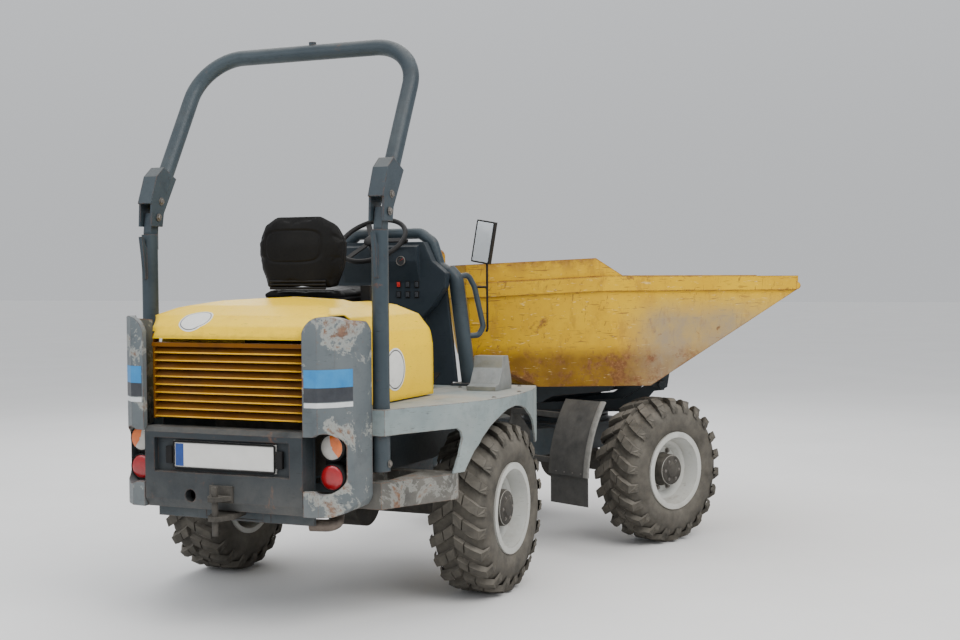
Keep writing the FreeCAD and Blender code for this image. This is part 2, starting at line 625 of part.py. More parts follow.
# front console with the dash
cons = plate("console", "xz", [[(1520, 979), (1650, 979), (1650, 1480), (1590, 1690), (1530, 1744), (1452, 1716), (1446, 1640), (1500, 1480), (1556, 1420), (1556, 1150)]], Q(-228, "-228.0"), Q(228, "228.0"))
wide = plate("wide", "yz", [[(-225, 1330), (-300, 1400), (-372, 1500), (-380, 1575), (-300, 1640), (-262, 1720), (-250, 1742), (250, 1742), (262, 1720), (300, 1640), (380, 1575), (372, 1500), (300, 1400), (225, 1330)]], Q(1484, "1484.0"), Q(1540, "1540.0"))


# steering wheel frame: centre and tilt
def tilt_place():
    return Placement(V(D.steer_x.v, 0, D.steer_z.v), Rotation(V(0, 1, 0), -D.steer_tilt.v))


col = Part.makeCylinder(36, 150, V(0, 0, -196))
col.Placement = tilt_place()
sides = [plate("side", "yz", [[(s * 222, 979), (s * 372, 979), (s * 372, 996), (s * 404, 996), (s * 382, 1200), (s * 356, 1420), (s * 346, 1500), (s * 222, 1500)]], Q(1562, "1562.0"), Q(1582, "1582.0")) for s in (-1, 1)]
node(fuse([cons, wide, raw(col)] + sides), "console")


# console frame: a shouldered hoop of heavy tube over the dash on two feet
def console_frame():
    pts = [(1610, -455, 985), (1600, -432, 1200), (1590, -392, 1545), (1585, -300, 1610), (1580, -262, 1735), (1580, -170, 1786)]
    left = [(x, -y, z) for x, y, z in reversed(pts)]
    legs = tube_shape(pts[:3] + [(1586, -350, 1590)], 40, 60)
    legs2 = tube_shape([(x, -y, z) for x, y, z in pts[:3] + [(1586, -350, 1590)]], 40, 60)
    hoop = tube_shape([(1588, -372, 1570), (1585, -300, 1612), (1580, -262, 1740), (1580, -190, 1790), (1580, 190, 1790), (1580, 262, 1740), (1585, 300, 1612), (1588, 372, 1570)], 30, 45)
    feet = [Part.makeBox(150, 150, 12, V(1540, min(s * 530, s * 380), 979)) for s in (-1, 1)]
    # grab rails outside the legs
    rails = [tube_shape([(1592, s * 410, 1556), (1640, s * 440, 1566), (1655, s * 470, 1500), (1655, s * 520, 1290), (1640, s * 500, 1244), (1606, s * 450, 1240)], 15, 30) for s in (-1, 1)]
    return legs.fuse([legs2, hoop] + feet + rails).removeSplitter()


node(raw(console_frame()), "console_frame")

# mirror on its stalk beside the right grab rail
stalk = tube_shape([(1655, -489, 1500), (1655, -544, 1500), (1655, -544, 1276), (1655, -538, 1262)], 6, 14)
stem = tube_shape([(1655, -544, 1490), (1655, -544, 1650)], 6, 14)
head = Part.makeBox(34, 104, 226, V(-17, -52, -113))
head.Placement = Placement(V(1655, -529, 1740), Rotation(V(1, 0, 0), 10))
node(raw(stalk.fuse([stem, head])), "mirror")

# levers beside the seat and pedals on the floor
lev = [box(800, 996, -298, -246, 1402, 1520), box(860, 900, 262, 296, 1402, 1440)]
lev.append(raw(tube_shape([(960, -272, 1515), (975, -272, 1650)], 8, 20)))
lev.append(raw(Part.makeSphere(22, V(976, -272, 1660))))
lev.append(raw(tube_shape([(880, 279, 1435), (890, 279, 1600)], 8, 20)))
lev.append(raw(Part.makeSphere(24, V(891, 278, 1614))))
node(fuse(lev), "control_levers")
ped = []
for y in (-330.0, 250.0):
    ped.append(plate("pedal", "xz", [[(1300, 982), (1420, 1046), (1414, 1058), (1294, 994)]], Q(y - 45, repr(y - 45)), Q(y + 45, repr(y + 45))))
    ped.append(box(1352, 1372, Q(y - 12, repr(y - 12)), Q(y + 12, repr(y + 12)), 979, 1014))
node(fuse(ped), "pedals")

# galvanised wheel chock lying on the right deck
chock = plate("chock", "xz", [[(1290, 979), (1500, 979), (1500, 1020), (1455, 1150), (1390, 1150), (1380, 1090), (1330, 1010), (1290, 1000)]], Q(-745, "-745.0"), Q(-585, "-585.0"))
node(cut(chock, [plate("well", "xz", [[(1320, 978), (1480, 978), (1480, 1020), (1440, 1130), (1404, 1130), (1394, 1090), (1340, 1004), (1320, 992)]], Q(-735, "-735.0"), Q(-595, "-595.0"))]), "wheel_chock")


# ROPS posts with their hinge lugs
def posts():
    out = []
    for s in (-1, 1):
        y = s * D.post_y.v
        p = Part.makeCylinder(D.post_rad.v, D.fold_z.v - 82 - D.post_low.v, V(D.post_x.v, y, D.post_low.v))
        lug = [(282, 1700), (338, 1700), (338, 1783), (D.fold_x.v + 26, D.fold_z.v - 10), (D.fold_x.v + 18, D.fold_z.v + 22), (D.fold_x.v - 18, D.fold_z.v + 22), (D.fold_x.v - 26, D.fold_z.v - 10), (282, 1783)]
        w = Part.makePolygon([V(x, y - 22, z) for x, z in lug] + [V(lug[0][0], y - 22, lug[0][1])])
        lug = Part.Face(w).extrude(V(0, 44, 0))
        lug = lug.cut(Part.makeCylinder(12.4, 60, V(D.fold_x.v, y - 30, D.fold_z.v), V(0, 1, 0)))
        gus = [(255, 1560), (264, 1560), (264, 1700), (240, 1760), (228, 1760), (244, 1660)]
        w = Part.makePolygon([V(x, y - 10, z) for x, z in gus] + [V(gus[0][0], y - 10, gus[0][1])])
        gus = Part.Face(w).extrude(V(0, 20, 0))
        out.append(p.fuse([lug, gus]).removeSplitter())
    return Part.makeCompound(out)


node(raw(posts()), "rops_posts")


# hoop: a bent tube that leans forward and narrows, on two channel brackets
def hoop():
    yb, zt, xt = D.post_y.v, D.hoop_top.v, D.hoop_top_x.v
    x0, z0 = D.fold_x.v + 30, D.fold_z.v + 60
    yt = 604.0
    pts = [(x0, -yb, z0), (xt, -yt, zt), (xt, yt, zt), (x0, yb, z0)]
    sh = tube_shape(pts, D.post_rad.v, 238)
    lean = math.degrees(math.atan2(xt - x0, zt - z0))
    parts = [sh]
    for s in (-1, 1):
        for off in (-1, 1):
            y = s * yb + off * 33
            # side plate of the channel: x, z
            pl = [(D.fold_x.v - 52, D.fold_z.v - 44), (D.fold_x.v + 34, D.fold_z.v - 44), (D.fold_x.v + 46, D.fold_z.v + 20), (x0 + 118, z0 + 130), (x0 + 30, z0 + 175), (x0 - 26, z0 + 130), (D.fold_x.v - 46, D.fold_z.v + 62)]
            w = Part.makePolygon([V(x, y - 5, z) for x, z in pl] + [V(pl[0][0], y - 5, pl[0][1])])
            parts.append(Part.Face(w).extrude(V(0, 10, 0)))
        parts.append(Part.makeCylinder(12, 84, V(D.fold_x.v, s * yb - 42, D.fold_z.v), V(0, 1, 0)))
        cov = [(D.fold_x.v - 46, D.fold_z.v + 62), (x0 - 26, z0 + 130), (x0 + 30, z0 + 175), (x0 + 22, z0 + 182), (x0 - 36, z0 + 136), (D.fold_x.v - 56, D.fold_z.v + 66)]
        w = Part.makePolygon([V(x, s * yb - 38, z) for x, z in cov] + [V(cov[0][0], s * yb - 38, cov[0][1])])
        parts.append(Part.Face(w).extrude(V(0, 76, 0)))
    out = parts[0].fuse(parts[1:])
    # socket for a warning beacon on the top tube
    soc = Part.makeCylinder(18, 40, V(xt, -26, zt + 10))
    out = out.fuse(soc).cut(Part.makeCylinder(11, 60, V(xt, -26, zt + 10)))
    return out.removeSplitter()


node(raw(hoop()), "rops_hoop")


# steering wheel with three spokes on its hub
wheel = Part.makeTorus(D.steer_rad.v, 13)
wheel = wheel.fuse(Part.makeCylinder(30, 44, V(0, 0, -40)))
spokes = []
for a in (30, 150, 270):
    b = Part.makeBox(D.steer_rad.v - 4, 30, 8, V(0, -15, -6))
    b.rotate(V(0, 0, 0), V(0, 0, 1), a)
    spokes.append(b)
wheel = wheel.fuse(spokes)
wheel.Placement = tilt_place()
node(raw(wheel), "steering_wheel")

# ---------------------------------------------------------------- front unit
parts = [
    box(0, 460, -62, 62, 486, 680),
    cyl("z", Q(66, "66.0"), Q(474, "474.0"), Q(692, "692.0"), 0, 0),
    box(420, 460, -D.rail_out, D.rail_out, D.rail_low, 690),
    box(460, 1560, -D.rail_out, -D.rail_in, D.rail_low, D.rail_top),
    box(460, 1560, D.rail_in, D.rail_out, D.rail_low, D.rail_top),
    box(1530, 1560, -D.rail_out, D.rail_out, D.rail_low, D.rail_top),
    box(840, 1450, -300, 300, D.rail_top, 660),
    cyl("z", D.ring_rad, Q(660, "660.0"), D.ring_z, D.front_axle_x, 0),
    box(460, 900, -D.rail_in, D.rail_in, 630, D.rail_top),
    box(D.ram_fx - 34.0, D.ram_fx + 34.0, 50, D.ram_fy + 34.0, D.ram_z + 30.0, D.ram_z + 44.0),
    box(D.ram_fx - 34.0, D.ram_fx + 34.0, 50, D.ram_fy + 34.0, D.ram_z - 44.0, D.ram_z - 30.0),
]
bore = cyl("z", D.pin_rad + 0.3, Q(400, "400.0"), Q(760, "760.0"), 0, 0)
node(cut(fuse(parts), [bore]), "front_frame", "front")
node(fuse(axle_parts(D.front_axle_x, 0)), "front_axle", "front")


# front mudguards: a bent sheet about the axle with its flap, on two arms
def guard(s):
    y0, y1 = (600.0, 905.0) if s > 0 else (-905.0, -600.0)
    ax, az, r, t = D.front_axle_x.v, D.tyre_rad.v, D.guard_rad.v, 8.0

    def at(rad, deg):
        return V(ax + rad * math.cos(math.radians(deg)), y0, az + rad * math.sin(math.radians(deg)))

    a0, a1 = 144.0, 177.5
    w = Part.Wire([
        Part.Arc(at(r, a0), at(r, (a0 + a1) / 2), at(r, a1)).toShape(),
        Part.LineSegment(at(r, a1), at(r - t, a1)).toShape(),
        Part.Arc(at(r - t, a1), at(r - t, (a0 + a1) / 2), at(r - t, a0)).toShape(),
        Part.LineSegment(at(r - t, a0), at(r, a0)).toShape()])
    sheet_ = Part.Face(w).extrude(V(0, y1 - y0, 0))
    p = at(r - t, a1)
    flap = Part.makeBox(6, y1 - y0 - 20, 190, V(p.x + 0, y0 + 10, p.z - 160))
    # arms from the rails to the sheet
    arms = []
    for deg in (152.0, 172.0):
        q = at(r - t, deg)
        ya, yb = (D.rail_out.v, y1 - 60) if s > 0 else (y0 + 60, -D.rail_out.v)
        arms.append(Part.makeBox(30, yb - ya, 30, V(q.x + 6, ya, q.z - 15)))
    q1, q2 = at(r - t, 152.0), at(r - t, 172.0)
    web_y = D.rail_out.v if s > 0 else -D.rail_out.v - 12
    web = [(q1.x + 6, q1.z - 15), (q1.x + 36, q1.z + 15), (640, 640), (640, 500), (q2.x + 6, q2.z - 15), (q2.x + 6, q2.z + 15)]
    w = Part.makePolygon([V(x, web_y, z) for x, z in web] + [V(web[0][0], web_y, web[0][1])])
    web = Part.Face(w).extrude(V(0, 12, 0))
    return sheet_.fuse([flap] + arms + [web])


node(raw(Part.makeCompound([guard(1), guard(-1)])), "front_mudguards", "front")


# ---------------------------------------------------------------- skip carrier
def carrier():
    tx, tz, lx, lz, rz = D.tip_x.v, D.tip_z.v, -D.lift_x.v, D.lift_z.v, D.ring_z.v
    ring = Part.makeCylinder(D.ring_rad.v, 24, V(0, 0, rz + 6))
    floor = Part.makeBox(440 - lx + 40, 450, 16, V(lx - 40, -225, rz + 30)).cut(Part.makeBox(175, 82, 40, V(lx - 45, -41, rz + 20)))
    out = [ring, floor]
    for s in (-1, 1):
        y = s * 225.0
        pl = [(lx - 40, rz + 46), (430, rz + 46), (tx - 40, tz - 46), (tx + 22, tz - 40), (tx + 34, tz), (tx, tz + 34), (tx - 40, tz + 20), (330, 800), (-200, 780), (lx - 40, 770)]
        w = Part.makePolygon([V(x, y - 10, z) for x, z in pl] + [V(pl[0][0], y - 10, pl[0][1])])
        out.append(Part.Face(w).extrude(V(0, 20, 0)))
        # tip pins stand out of the cheek plates
        out.append(Part.makeCylinder(22, 60, V(tx, 235.0 if s > 0 else -295.0, tz), V(0, 1, 0)))
        # ears for the tip cylinder
        ear = [(lx - 40, rz + 40), (lx + 50, rz + 40), (lx + 30, lz + 24), (lx - 30, lz + 24)]
        w = Part.makePolygon([V(x, s * 48 - 7, z) for x, z in ear] + [V(ear[0][0], s * 48 - 7, ear[0][1])])
        out.append(Part.Face(w).extrude(V(0, 14, 0)).cut(Part.makeCylinder(14.3, 200, V(lx, -100, lz), V(0, 1, 0))))
    return out[0].fuse(out[1:]).removeSplitter()


node(raw(carrier()), "skip_carrier", "skip")


# skip: plates about an open load space; each facet is a plane
H, R, L = D.skip_half.v, -D.skip_rear.v, D.skip_lip.v
F, T, RIM = D.skip_floor.v, D.skip_t.v, D.skip_rim.v
INSIDE = (100.0, 0.0, 1400.0)
FACETS = []
for s in (-1, 1):
    FACETS.append(plane3((-700, s * H, RIM), (150, s * H, RIM), (0, s * (H - 58), 1117), INSIDE))          # side, upper
    FACETS.append(plane3((-605, s * (H - 60.3), 1100), (225, s * (H - 55.9), 1133), (290, s * (H - 105), 925), INSIDE))  # side, lower
    FACETS.append(plane3((-605, s * (H - 60.3), 1100), (R + 70, s * 633, 1110), (-217, s * (H - 105.3), F), INSIDE))  # lower rear corner
    FACETS.append(plane3((140, s * (H - 11.4), 1465), (225, s * (H - 55.9), 1133), (1260, s * 560, 1500), INSIDE))     # side, front
    FACETS.append(plane3((R, s * 640, RIM), (R + 120, s * H, RIM), (-605, s * (H - 60.3), 1100), INSIDE))      # rear corner
FACETS.append(plane3((R, 0, RIM), (R, 300, RIM), (R + 70, 0, 1110), INSIDE))                                # rear, upper
FACETS.append(plane3((R + 70, 0, 1110), (R + 70, 300, 1110), (R + 215, 0, F), INSIDE))                      # rear, lower
FACETS.append(plane3((430, 0, F), (430, 300, F), (L, 0, 1462), INSIDE))                                     # nose
FACETS.append(((0, 0, F), (0, 0, -1)))                                                                      # floor
FACETS.append(((L + 6, 0, 1500), (1, 0, 0)))                                                                # lip


def hull(offset, top):
    sh = Part.makeBox(2800, 2400, top - 700, V(-1300, -1200, 700))
    for f in FACETS:
        p, n = moved(f, offset)
        sh = beyond(sh, p, n)
    return sh


def skip():
    guard_top, slope = 1654.0, (1654.0 - 1616.0) / 850.0
    outer = hull(0.0, 1700.0)
    inner = hull(-T, 1800.0)
    # the lip end is open above the nose plate
    inner = inner.fuse(Part.makeBox(60, 1020, 300, V(L - 40, -510, 1474))).removeSplitter()
    shell = outer.cut(inner)
    # top line: raised guard round the rear half, falling to the rim
    keep = [(-1300, 700), (1500, 700), (1500, RIM - 6), (264, RIM), (100, guard_top), (-757, 1616), (-1300, 1592)]
    w = Part.makePolygon([V(x, -1200, z) for x, z in keep] + [V(keep[0][0], -1200, keep[0][1])])
    shell = shell.common(Part.Face(w).extrude(V(0, 2400, 0)))
    # rim band that stands proud of the plates
    band = [(-1300, 1402), (-757, 1428), (140, 1466), (L + 100, 1462), (L + 100, RIM - 6), (150, RIM), (-757, 1508), (-1300, 1482)]
    w = Part.makePolygon([V(x, -1200, z) for x, z in band] + [V(band[0][0], -1200, band[0][1])])
    slab = Part.Face(w).extrude(V(0, 2400, 0))
    ring = hull(16.0, 1700.0).cut(outer).common(slab)
    ring = beyond(ring, (L - 8, 0, 0), (1, 0, 0))
    parts = [shell, ring]
    # lip roll along the nose
    roll = Part.makeCylinder(22, 1120, V(L - 4, -560, 1486), V(0, 1, 0))
    parts.append(roll)
    # lifting loop on the rear guard
    loop = tube_shape([(R + 4, 0, 1540), (R - 92, 0, 1560), (R - 84, 0, 1716), (R + 0, 0, 1716), (R + 2, 0, 1600)], 9, 42)
    parts.append(loop)
    out = parts[0].fuse(parts[1:])
    return out


node(raw(skip()), "skip", "skip")


# frame under the skip floor: a plate with ribs, lugs on the tip pins and ears
# beside the eye of the tip cylinder's rod
def underframe():
    tx, tz, ex, ez = D.tip_x.v, D.tip_z.v, D.eye_x.v, D.eye_z.v
    base = Part.makeBox(890, 860, 7, V(-465, -430, F - 7))
    parts = []
    for s in (-1, 1):
        rib = [(-460, F - 4), (-430, 850), (-193, 796), (-115, 837), (226, 863), (270, F - 4)]
        w = Part.makePolygon([V(x, s * 420 - 8, z) for x, z in rib] + [V(rib[0][0], s * 420 - 8, rib[0][1])])
        parts.append(Part.Face(w).extrude(V(0, 16, 0)))
        lug = [(400, F - 9), (tx - 36, tz - 20), (tx, tz - 36), (tx + 36, tz - 20), (tx + 60, F + 100), (tx - 60, F + 100), (400, F + 10)]
        w = Part.makePolygon([V(x, s * 260 - 9, z) for x, z in lug] + [V(lug[0][0], s * 260 - 9, lug[0][1])])
        parts.append(Part.Face(w).extrude(V(0, 18, 0)).cut(Part.makeCylinder(22.3, 80, V(tx, s * 260 - 40, tz), V(0, 1, 0))))
        ear = [(ex - 70, F - 3), (ex - 34, ez - 14), (ex, ez - 32), (ex + 34, ez - 14), (ex + 70, F - 3)]
        w = Part.makePolygon([V(x, s * 49 - 6, z) for x, z in ear] + [V(ear[0][0], s * 49 - 6, ear[0][1])])
        parts.append(Part.Face(w).extrude(V(0, 12, 0)))
    return base.fuse(parts).cut(hull(0.0, 1700.0)).removeSplitter()


node(raw(underframe()), "skip_underframe", "skip")

# tip cylinder: barrel on the carrier, rod on the skip
tipa, tipb = V(-D.lift_x.v, 0, D.lift_z.v), V(D.eye_x.v, 0, D.eye_z.v)


def cylinder_pair(a, b, rb, rr, eye, half, pin_r, pin_half, half_b, share, start):
    """Barrel and rod between two eyes; the barrel has its pin, share is its part, start is the rod's inner end."""
    d = (b - a).normalize()
    n = (b - a).Length
    side = V(0, 1, 0) if abs(d.z) > 0.01 else V(0, 0, 1)
    barrel = Part.makeCylinder(rb, n * share, a, d)
    barrel = barrel.cut(Part.makeCylinder(rr + 0.05, n, a + d * (eye + 30), d))
    barrel = barrel.fuse([Part.makeCylinder(eye, 2 * half, a - side * half, side), Part.makeCylinder(pin_r, 2 * pin_half, a - side * pin_half, side)])
    rod = Part.makeCylinder(rr, n - start, a + d * start, d)
    rod = rod.fuse(Part.makeCylinder(eye, 2 * half_b, b - side * half_b, side))
    return barrel, rod


tb, tr = cylinder_pair(tipa, tipb, 34, 22, 26, 36, 14, 57, 36, 0.8, 86)
node(raw(tb), "tip_cylinder_barrel", "skip")
node(raw(tr), "tip_cylinder_rod", "skip")

# ---------------------------------------------------------------- steering cylinder
# rear pin on the rear unit, front pin on the front unit
sta = V(D.ram_x.v, D.ram_y.v, D.ram_z.v)
c, s_ = math.cos(math.radians(D.turn.v)), math.sin(math.radians(D.turn.v))
fx, fy = D.ram_fx.v, D.ram_fy.v
stb = V(D.pivot_x.v + fx * c + fy * s_, -fx * s_ + fy * c, D.ram_z.v)
sb, sr = cylinder_pair(sta, stb, 25, 15, 28, 30, 14, 52, 23, 0.585, 302)
node(raw(sb), "steering_cylinder_barrel")
node(raw(sr), "steering_cylinder_rod")

# ---------------------------------------------------------------- wheels
tw, tr_, fr, br_ = D.tyre_half, D.tyre_rad, D.flange_rad, D.bead_rad
for tag, unit, ax in (("rear", "rear", D.rear_axle_x), ("front", "front", D.front_axle_x)):
    for s, side in ((1, "left"), (-1, "right")):
        tyre = turned("tyre", "yz", [(-(tw - 22.0), br_), (-(tw - 26.0), fr + 4.0), (-(tw - 6.0), fr + 40.0), (-tw, tr_ - 110.0), (-(tw - 8.0), tr_ - 42.0), (-(tw - 36.0), tr_ - 4.0), (-(tw - 60.0), tr_),
                                     (tw - 60.0, tr_), (tw - 36.0, tr_ - 4.0), (tw - 8.0, tr_ - 42.0), (tw, tr_ - 110.0), (tw - 6.0, fr + 40.0), (tw - 26.0, fr + 4.0), (tw - 22.0, br_)])
        node(tyre, "tyre_%s_%s" % (tag, side), unit, (ax, D.half_track * s, D.tyre_rad))
        # rim: flanges, well, dished disc and hub; u is the way out of the machine
        o = s * 1.0
        rim = turned("rim", "yz", [(-o * 140.0, br_ - 0.3), (-o * 140.0, fr), (-o * 127.0, fr), (-o * 127.0, br_ - 0.3), (o * 127.0, br_ - 0.3), (o * 127.0, fr), (o * 140.0, fr), (o * 140.0, br_ - 8.0),
                                   (o * 60.0, br_ - 30.0), (o * 52.0, D.hub_rad + 62.0), (o * 30.0, D.hub_rad + 40.0), (o * 30.0, D.hub_rad), (o * 104.0, D.hub_rad - 4.0), (o * 108.0, D.hub_rad - 30.0), (o * 108.0, Q(0, "0.0")),
                                   (o * 10.0, Q(0, "0.0")), (o * 10.0, D.spindle_rad + 0.3), (-o * 54.0, D.spindle_rad + 0.3), (-o * 54.0, Q(104, "104.0")), (o * 18.0, Q(110, "110.0")), (o * 40.0, D.hub_rad + 70.0), (o * 44.0, br_ - 24.0), (-o * 120.0, br_ - 8.0)])
        node(rim, "rim_%s_%s" % (tag, side), unit, (ax, D.half_track * s, D.tyre_rad))

doc.recompute()

bad = [o.Name + " " + ",".join(o.State) for o in doc.Objects if "Invalid" in o.State or "Error" in o.State]
for o in NODES:
    sh = o.Shape
    if sh.isNull() or not sh.isValid():
        bad.append(o.Label + " shape")
labels = [o.Label for o in NODES]
if len(set(labels)) != len(labels):
    bad.append("labels repeat")
if bad:
    raise SystemExit("failed: " + "; ".join(bad))

os.makedirs("parts", exist_ok=True)
lo = [1e9] * 3
hi = [-1e9] * 3
total = 0.0
for o in NODES:
    o.Shape.exportStep("parts/%s.step" % o.Label)
    b = o.Shape.BoundBox
    lo = [min(lo[0], b.XMin), min(lo[1], b.YMin), min(lo[2], b.ZMin)]
    hi = [max(hi[0], b.XMax), max(hi[1], b.YMax), max(hi[2], b.ZMax)]
    total += o.Shape.Volume
    print("%-26s solids %d volume %.5f  x %.0f %.0f  y %.0f %.0f  z %.0f %.0f" % (o.Label, len(o.Shape.Solids), o.Shape.Volume / 1e9, b.XMin, b.XMax, b.YMin, b.YMax, b.ZMin, b.ZMax))
print("nodes", len(NODES), "volume m3", round(total / 1e9, 4))
print("box", [round(v, 1) for v in lo], [round(v, 1) for v in hi], "centre", [round((a + b) / 2, 1) for a, b in zip(lo, hi)])
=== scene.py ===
import bpy, bmesh, math, json, random
from mathutils import Vector, Matrix
from mathutils.bvhtree import BVHTree


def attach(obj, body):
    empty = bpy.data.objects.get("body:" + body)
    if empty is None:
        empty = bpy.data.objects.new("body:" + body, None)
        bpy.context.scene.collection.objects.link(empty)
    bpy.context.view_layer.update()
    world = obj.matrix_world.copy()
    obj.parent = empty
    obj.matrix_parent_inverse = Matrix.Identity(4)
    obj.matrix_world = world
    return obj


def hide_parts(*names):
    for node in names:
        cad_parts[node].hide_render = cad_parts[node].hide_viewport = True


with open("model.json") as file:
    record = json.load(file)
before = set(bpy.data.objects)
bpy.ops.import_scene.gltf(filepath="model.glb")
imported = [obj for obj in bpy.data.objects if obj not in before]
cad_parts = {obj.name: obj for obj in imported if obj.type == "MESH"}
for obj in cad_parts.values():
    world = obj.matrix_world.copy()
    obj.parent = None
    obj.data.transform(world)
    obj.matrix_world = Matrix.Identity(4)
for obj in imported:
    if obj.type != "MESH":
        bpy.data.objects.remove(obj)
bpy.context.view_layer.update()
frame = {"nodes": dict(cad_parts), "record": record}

NODES = frame["nodes"]

# ------------------------------------------------------------------ frames
ORG = (2.0060, -0.5017)
PIVOT_X, AXLE_F, TURN, SWIVEL = 2.000, 1.144, math.radians(24.2), math.radians(64.2)


def M_rear():
    return Matrix.Translation((-ORG[0], -ORG[1], 0))


def M_front():
    return Matrix.Translation((PIVOT_X - ORG[0], -ORG[1], 0)) @ Matrix.Rotation(-TURN, 4, "Z")


def M_skip():
    return M_front() @ Matrix.Translation((AXLE_F, 0, 0)) @ Matrix.Rotation(-(SWIVEL - TURN), 4, "Z")


REAR, FRONT, SKIP = M_rear(), M_front(), M_skip()


# ------------------------------------------------------------------ camera
def camera():
    yaw, pitch, roll = math.radians(23.9), math.radians(-2.0), math.radians(-0.45)
    d = Vector((math.cos(yaw) * math.cos(pitch), math.sin(yaw) * math.cos(pitch), math.sin(pitch)))
    right = Vector((math.sin(yaw), -math.cos(yaw), 0))
    up = right.cross(d)
    r2 = right * math.cos(roll) + up * math.sin(roll)
    u2 = -right * math.sin(roll) + up * math.cos(roll)
    m = Matrix((r2, u2, -d)).transposed().to_4x4()
    m.translation = REAR @ Vector((-5.181, -3.530, 1.585))
    cam = bpy.data.objects.new("camera", bpy.data.cameras.new("camera"))
    cam.data.lens = 52.5
    cam.data.sensor_width = 36
    cam.data.clip_end = 200
    cam.matrix_world = m
    bpy.context.scene.collection.objects.link(cam)
    bpy.context.scene.camera = cam
    return d, right


VIEW_D, VIEW_R = camera()


# ------------------------------------------------------------------ node helpers
class N:
    """Short way to write a material's nodes."""

    def __init__(self, name):
        self.m = bpy.data.materials.new(name)
        self.m.use_nodes = True
        self.t = self.m.node_tree
        self.t.nodes.clear()
        self.out = self.t.nodes.new("ShaderNodeOutputMaterial")
        self.b = self.t.nodes.new("ShaderNodeBsdfPrincipled")
        self.t.links.new(self.b.outputs[0], self.out.inputs[0])
        self.co = self.t.nodes.new("ShaderNodeTexCoord").outputs["Object"]

    def add(self, kind, **sock):
        n = self.t.nodes.new(kind)
        for k, v in sock.items():
            self.put(n, k, v)
        return n

    def put(self, n, k, v):
        s = n.inputs[k] if not isinstance(k, str) or k in n.inputs else n.inputs[k.replace("_", " ")]
        if isinstance(v, bpy.types.NodeSocket):
            self.t.links.new(v, s)
        else:
            s.default_value = v

    def scaled(self, x, y, z):
        n = self.add("ShaderNodeMapping", Vector=self.co)
        n.inputs["Scale"].default_value = (x, y, z)
        return n.outputs[0]

    def noise(self, scale, detail=6.0, rough=0.6, vec=None, dist=0.0):
        n = self.add("ShaderNodeTexNoise", Vector=vec or self.co)
        n.inputs["Scale"].default_value = scale
        n.inputs["Detail"].default_value = detail
        n.inputs["Roughness"].default_value = rough
        n.inputs["Distortion"].default_value = dist
        return n.outputs["Fac"]

    def ramp(self, fac, stops, interp="LINEAR"):
        n = self.add("ShaderNodeValToRGB", Fac=fac)
        n.color_ramp.interpolation = interp
        el = n.color_ramp.elements
        while len(el) > 1:
            el.remove(el[-1])
        el[0].position = stops[0][0]
        el[0].color = self.col(stops[0][1])
        for p, c in stops[1:]:
            e = el.new(p)
            e.color = self.col(c)
        return n.outputs["Color"]

    @staticmethod
    def col(c):
        return (c, c, c, 1) if isinstance(c, (int, float)) else (c[0], c[1], c[2], 1)

    def mix(self, fac, a, b, mode="MIX"):
        n = self.t.nodes.new("ShaderNodeMix")
        n.data_type = "RGBA"
        n.blend_type = mode
        ins = [s for s in n.inputs if s.type == "RGBA"]
        f = n.inputs[0]
        for s, v in ((f, fac), (ins[0], a), (ins[1], b)):
            if isinstance(v, bpy.types.NodeSocket):
                self.t.links.new(v, s)
            elif s is f:
                s.default_value = v
            else:
                s.default_value = self.col(v)
        return [o for o in n.outputs if o.type == "RGBA"][0]

    def math(self, op, a, b=0.0, clamp=False):
        n = self.t.nodes.new("ShaderNodeMath")
        n.operation = op
        n.use_clamp = clamp
        for i, v in ((0, a), (1, b)):
            if isinstance(v, bpy.types.NodeSocket):
                self.t.links.new(v, n.inputs[i])
            else:
                n.inputs[i].default_value = v
        return n.outputs[0]

    def axis(self, k):
        n = self.add("ShaderNodeSeparateXYZ", Vector=self.co)
        return n.outputs["XYZ".index(k)]

    def normal_axis(self, k):
        g = self.t.nodes.new("ShaderNodeNewGeometry")
        n = self.add("ShaderNodeSeparateXYZ", Vector=g.outputs["Normal"])
        return n.outputs["XYZ".index(k)]

    def range(self, v, lo, hi, a=0.0, b=1.0):
        n = self.t.nodes.new("ShaderNodeMapRange")
        n.clamp = True
        self.t.links.new(v, n.inputs[0])
        for i, x in zip((1, 2, 3, 4), (lo, hi, a, b)):
            n.inputs[i].default_value = x
        return n.outputs[0]

    def edge(self, radius=0.006, lo=0.02, hi=0.14):
        """Bright along edges: how far a bevelled normal leaves the true one."""
        bev = self.add("ShaderNodeBevel")
        bev.samples = 4
        bev.inputs["Radius"].default_value = radius
        g = self.t.nodes.new("ShaderNodeNewGeometry")
        n = self.t.nodes.new("ShaderNodeVectorMath")
        n.operation = "DOT_PRODUCT"
        self.t.links.new(bev.outputs[0], n.inputs[0])
        self.t.links.new(g.outputs["Normal"], n.inputs[1])
        inv = self.math("SUBTRACT", 1.0, n.outputs["Value"])
        return self.range(inv, lo, hi)

    def bump(self, height, strength=0.3, distance=0.002, bevel=0.0):
        n = self.add("ShaderNodeBump", Height=height)
        n.inputs["Strength"].default_value = strength
        n.inputs["Distance"].default_value = distance
        if bevel:
            b = self.add("ShaderNodeBevel")
            b.samples = 4
            b.inputs["Radius"].default_value = bevel
            self.t.links.new(b.outputs[0], n.inputs["Normal"])
        self.t.links.new(n.outputs[0], self.b.inputs["Normal"])

    def finish(self, color, rough, metallic=0.0, spec=None, coat=0.0):
        for k, v in (("Base Color", color), ("Roughness", rough), ("Metallic", metallic)):
            s = self.b.inputs[k]
            if isinstance(v, bpy.types.NodeSocket):
                self.t.links.new(v, s)
            else:
                s.default_value = self.col(v) if k == "Base Color" else v
        if spec is not None:
            self.b.inputs["Specular IOR Level"].default_value = spec
        if coat:
            self.b.inputs["Coat Weight"].default_value = coat
            self.b.inputs["Coat Roughness"].default_value = 0.15
        return self.m


MATS = {}
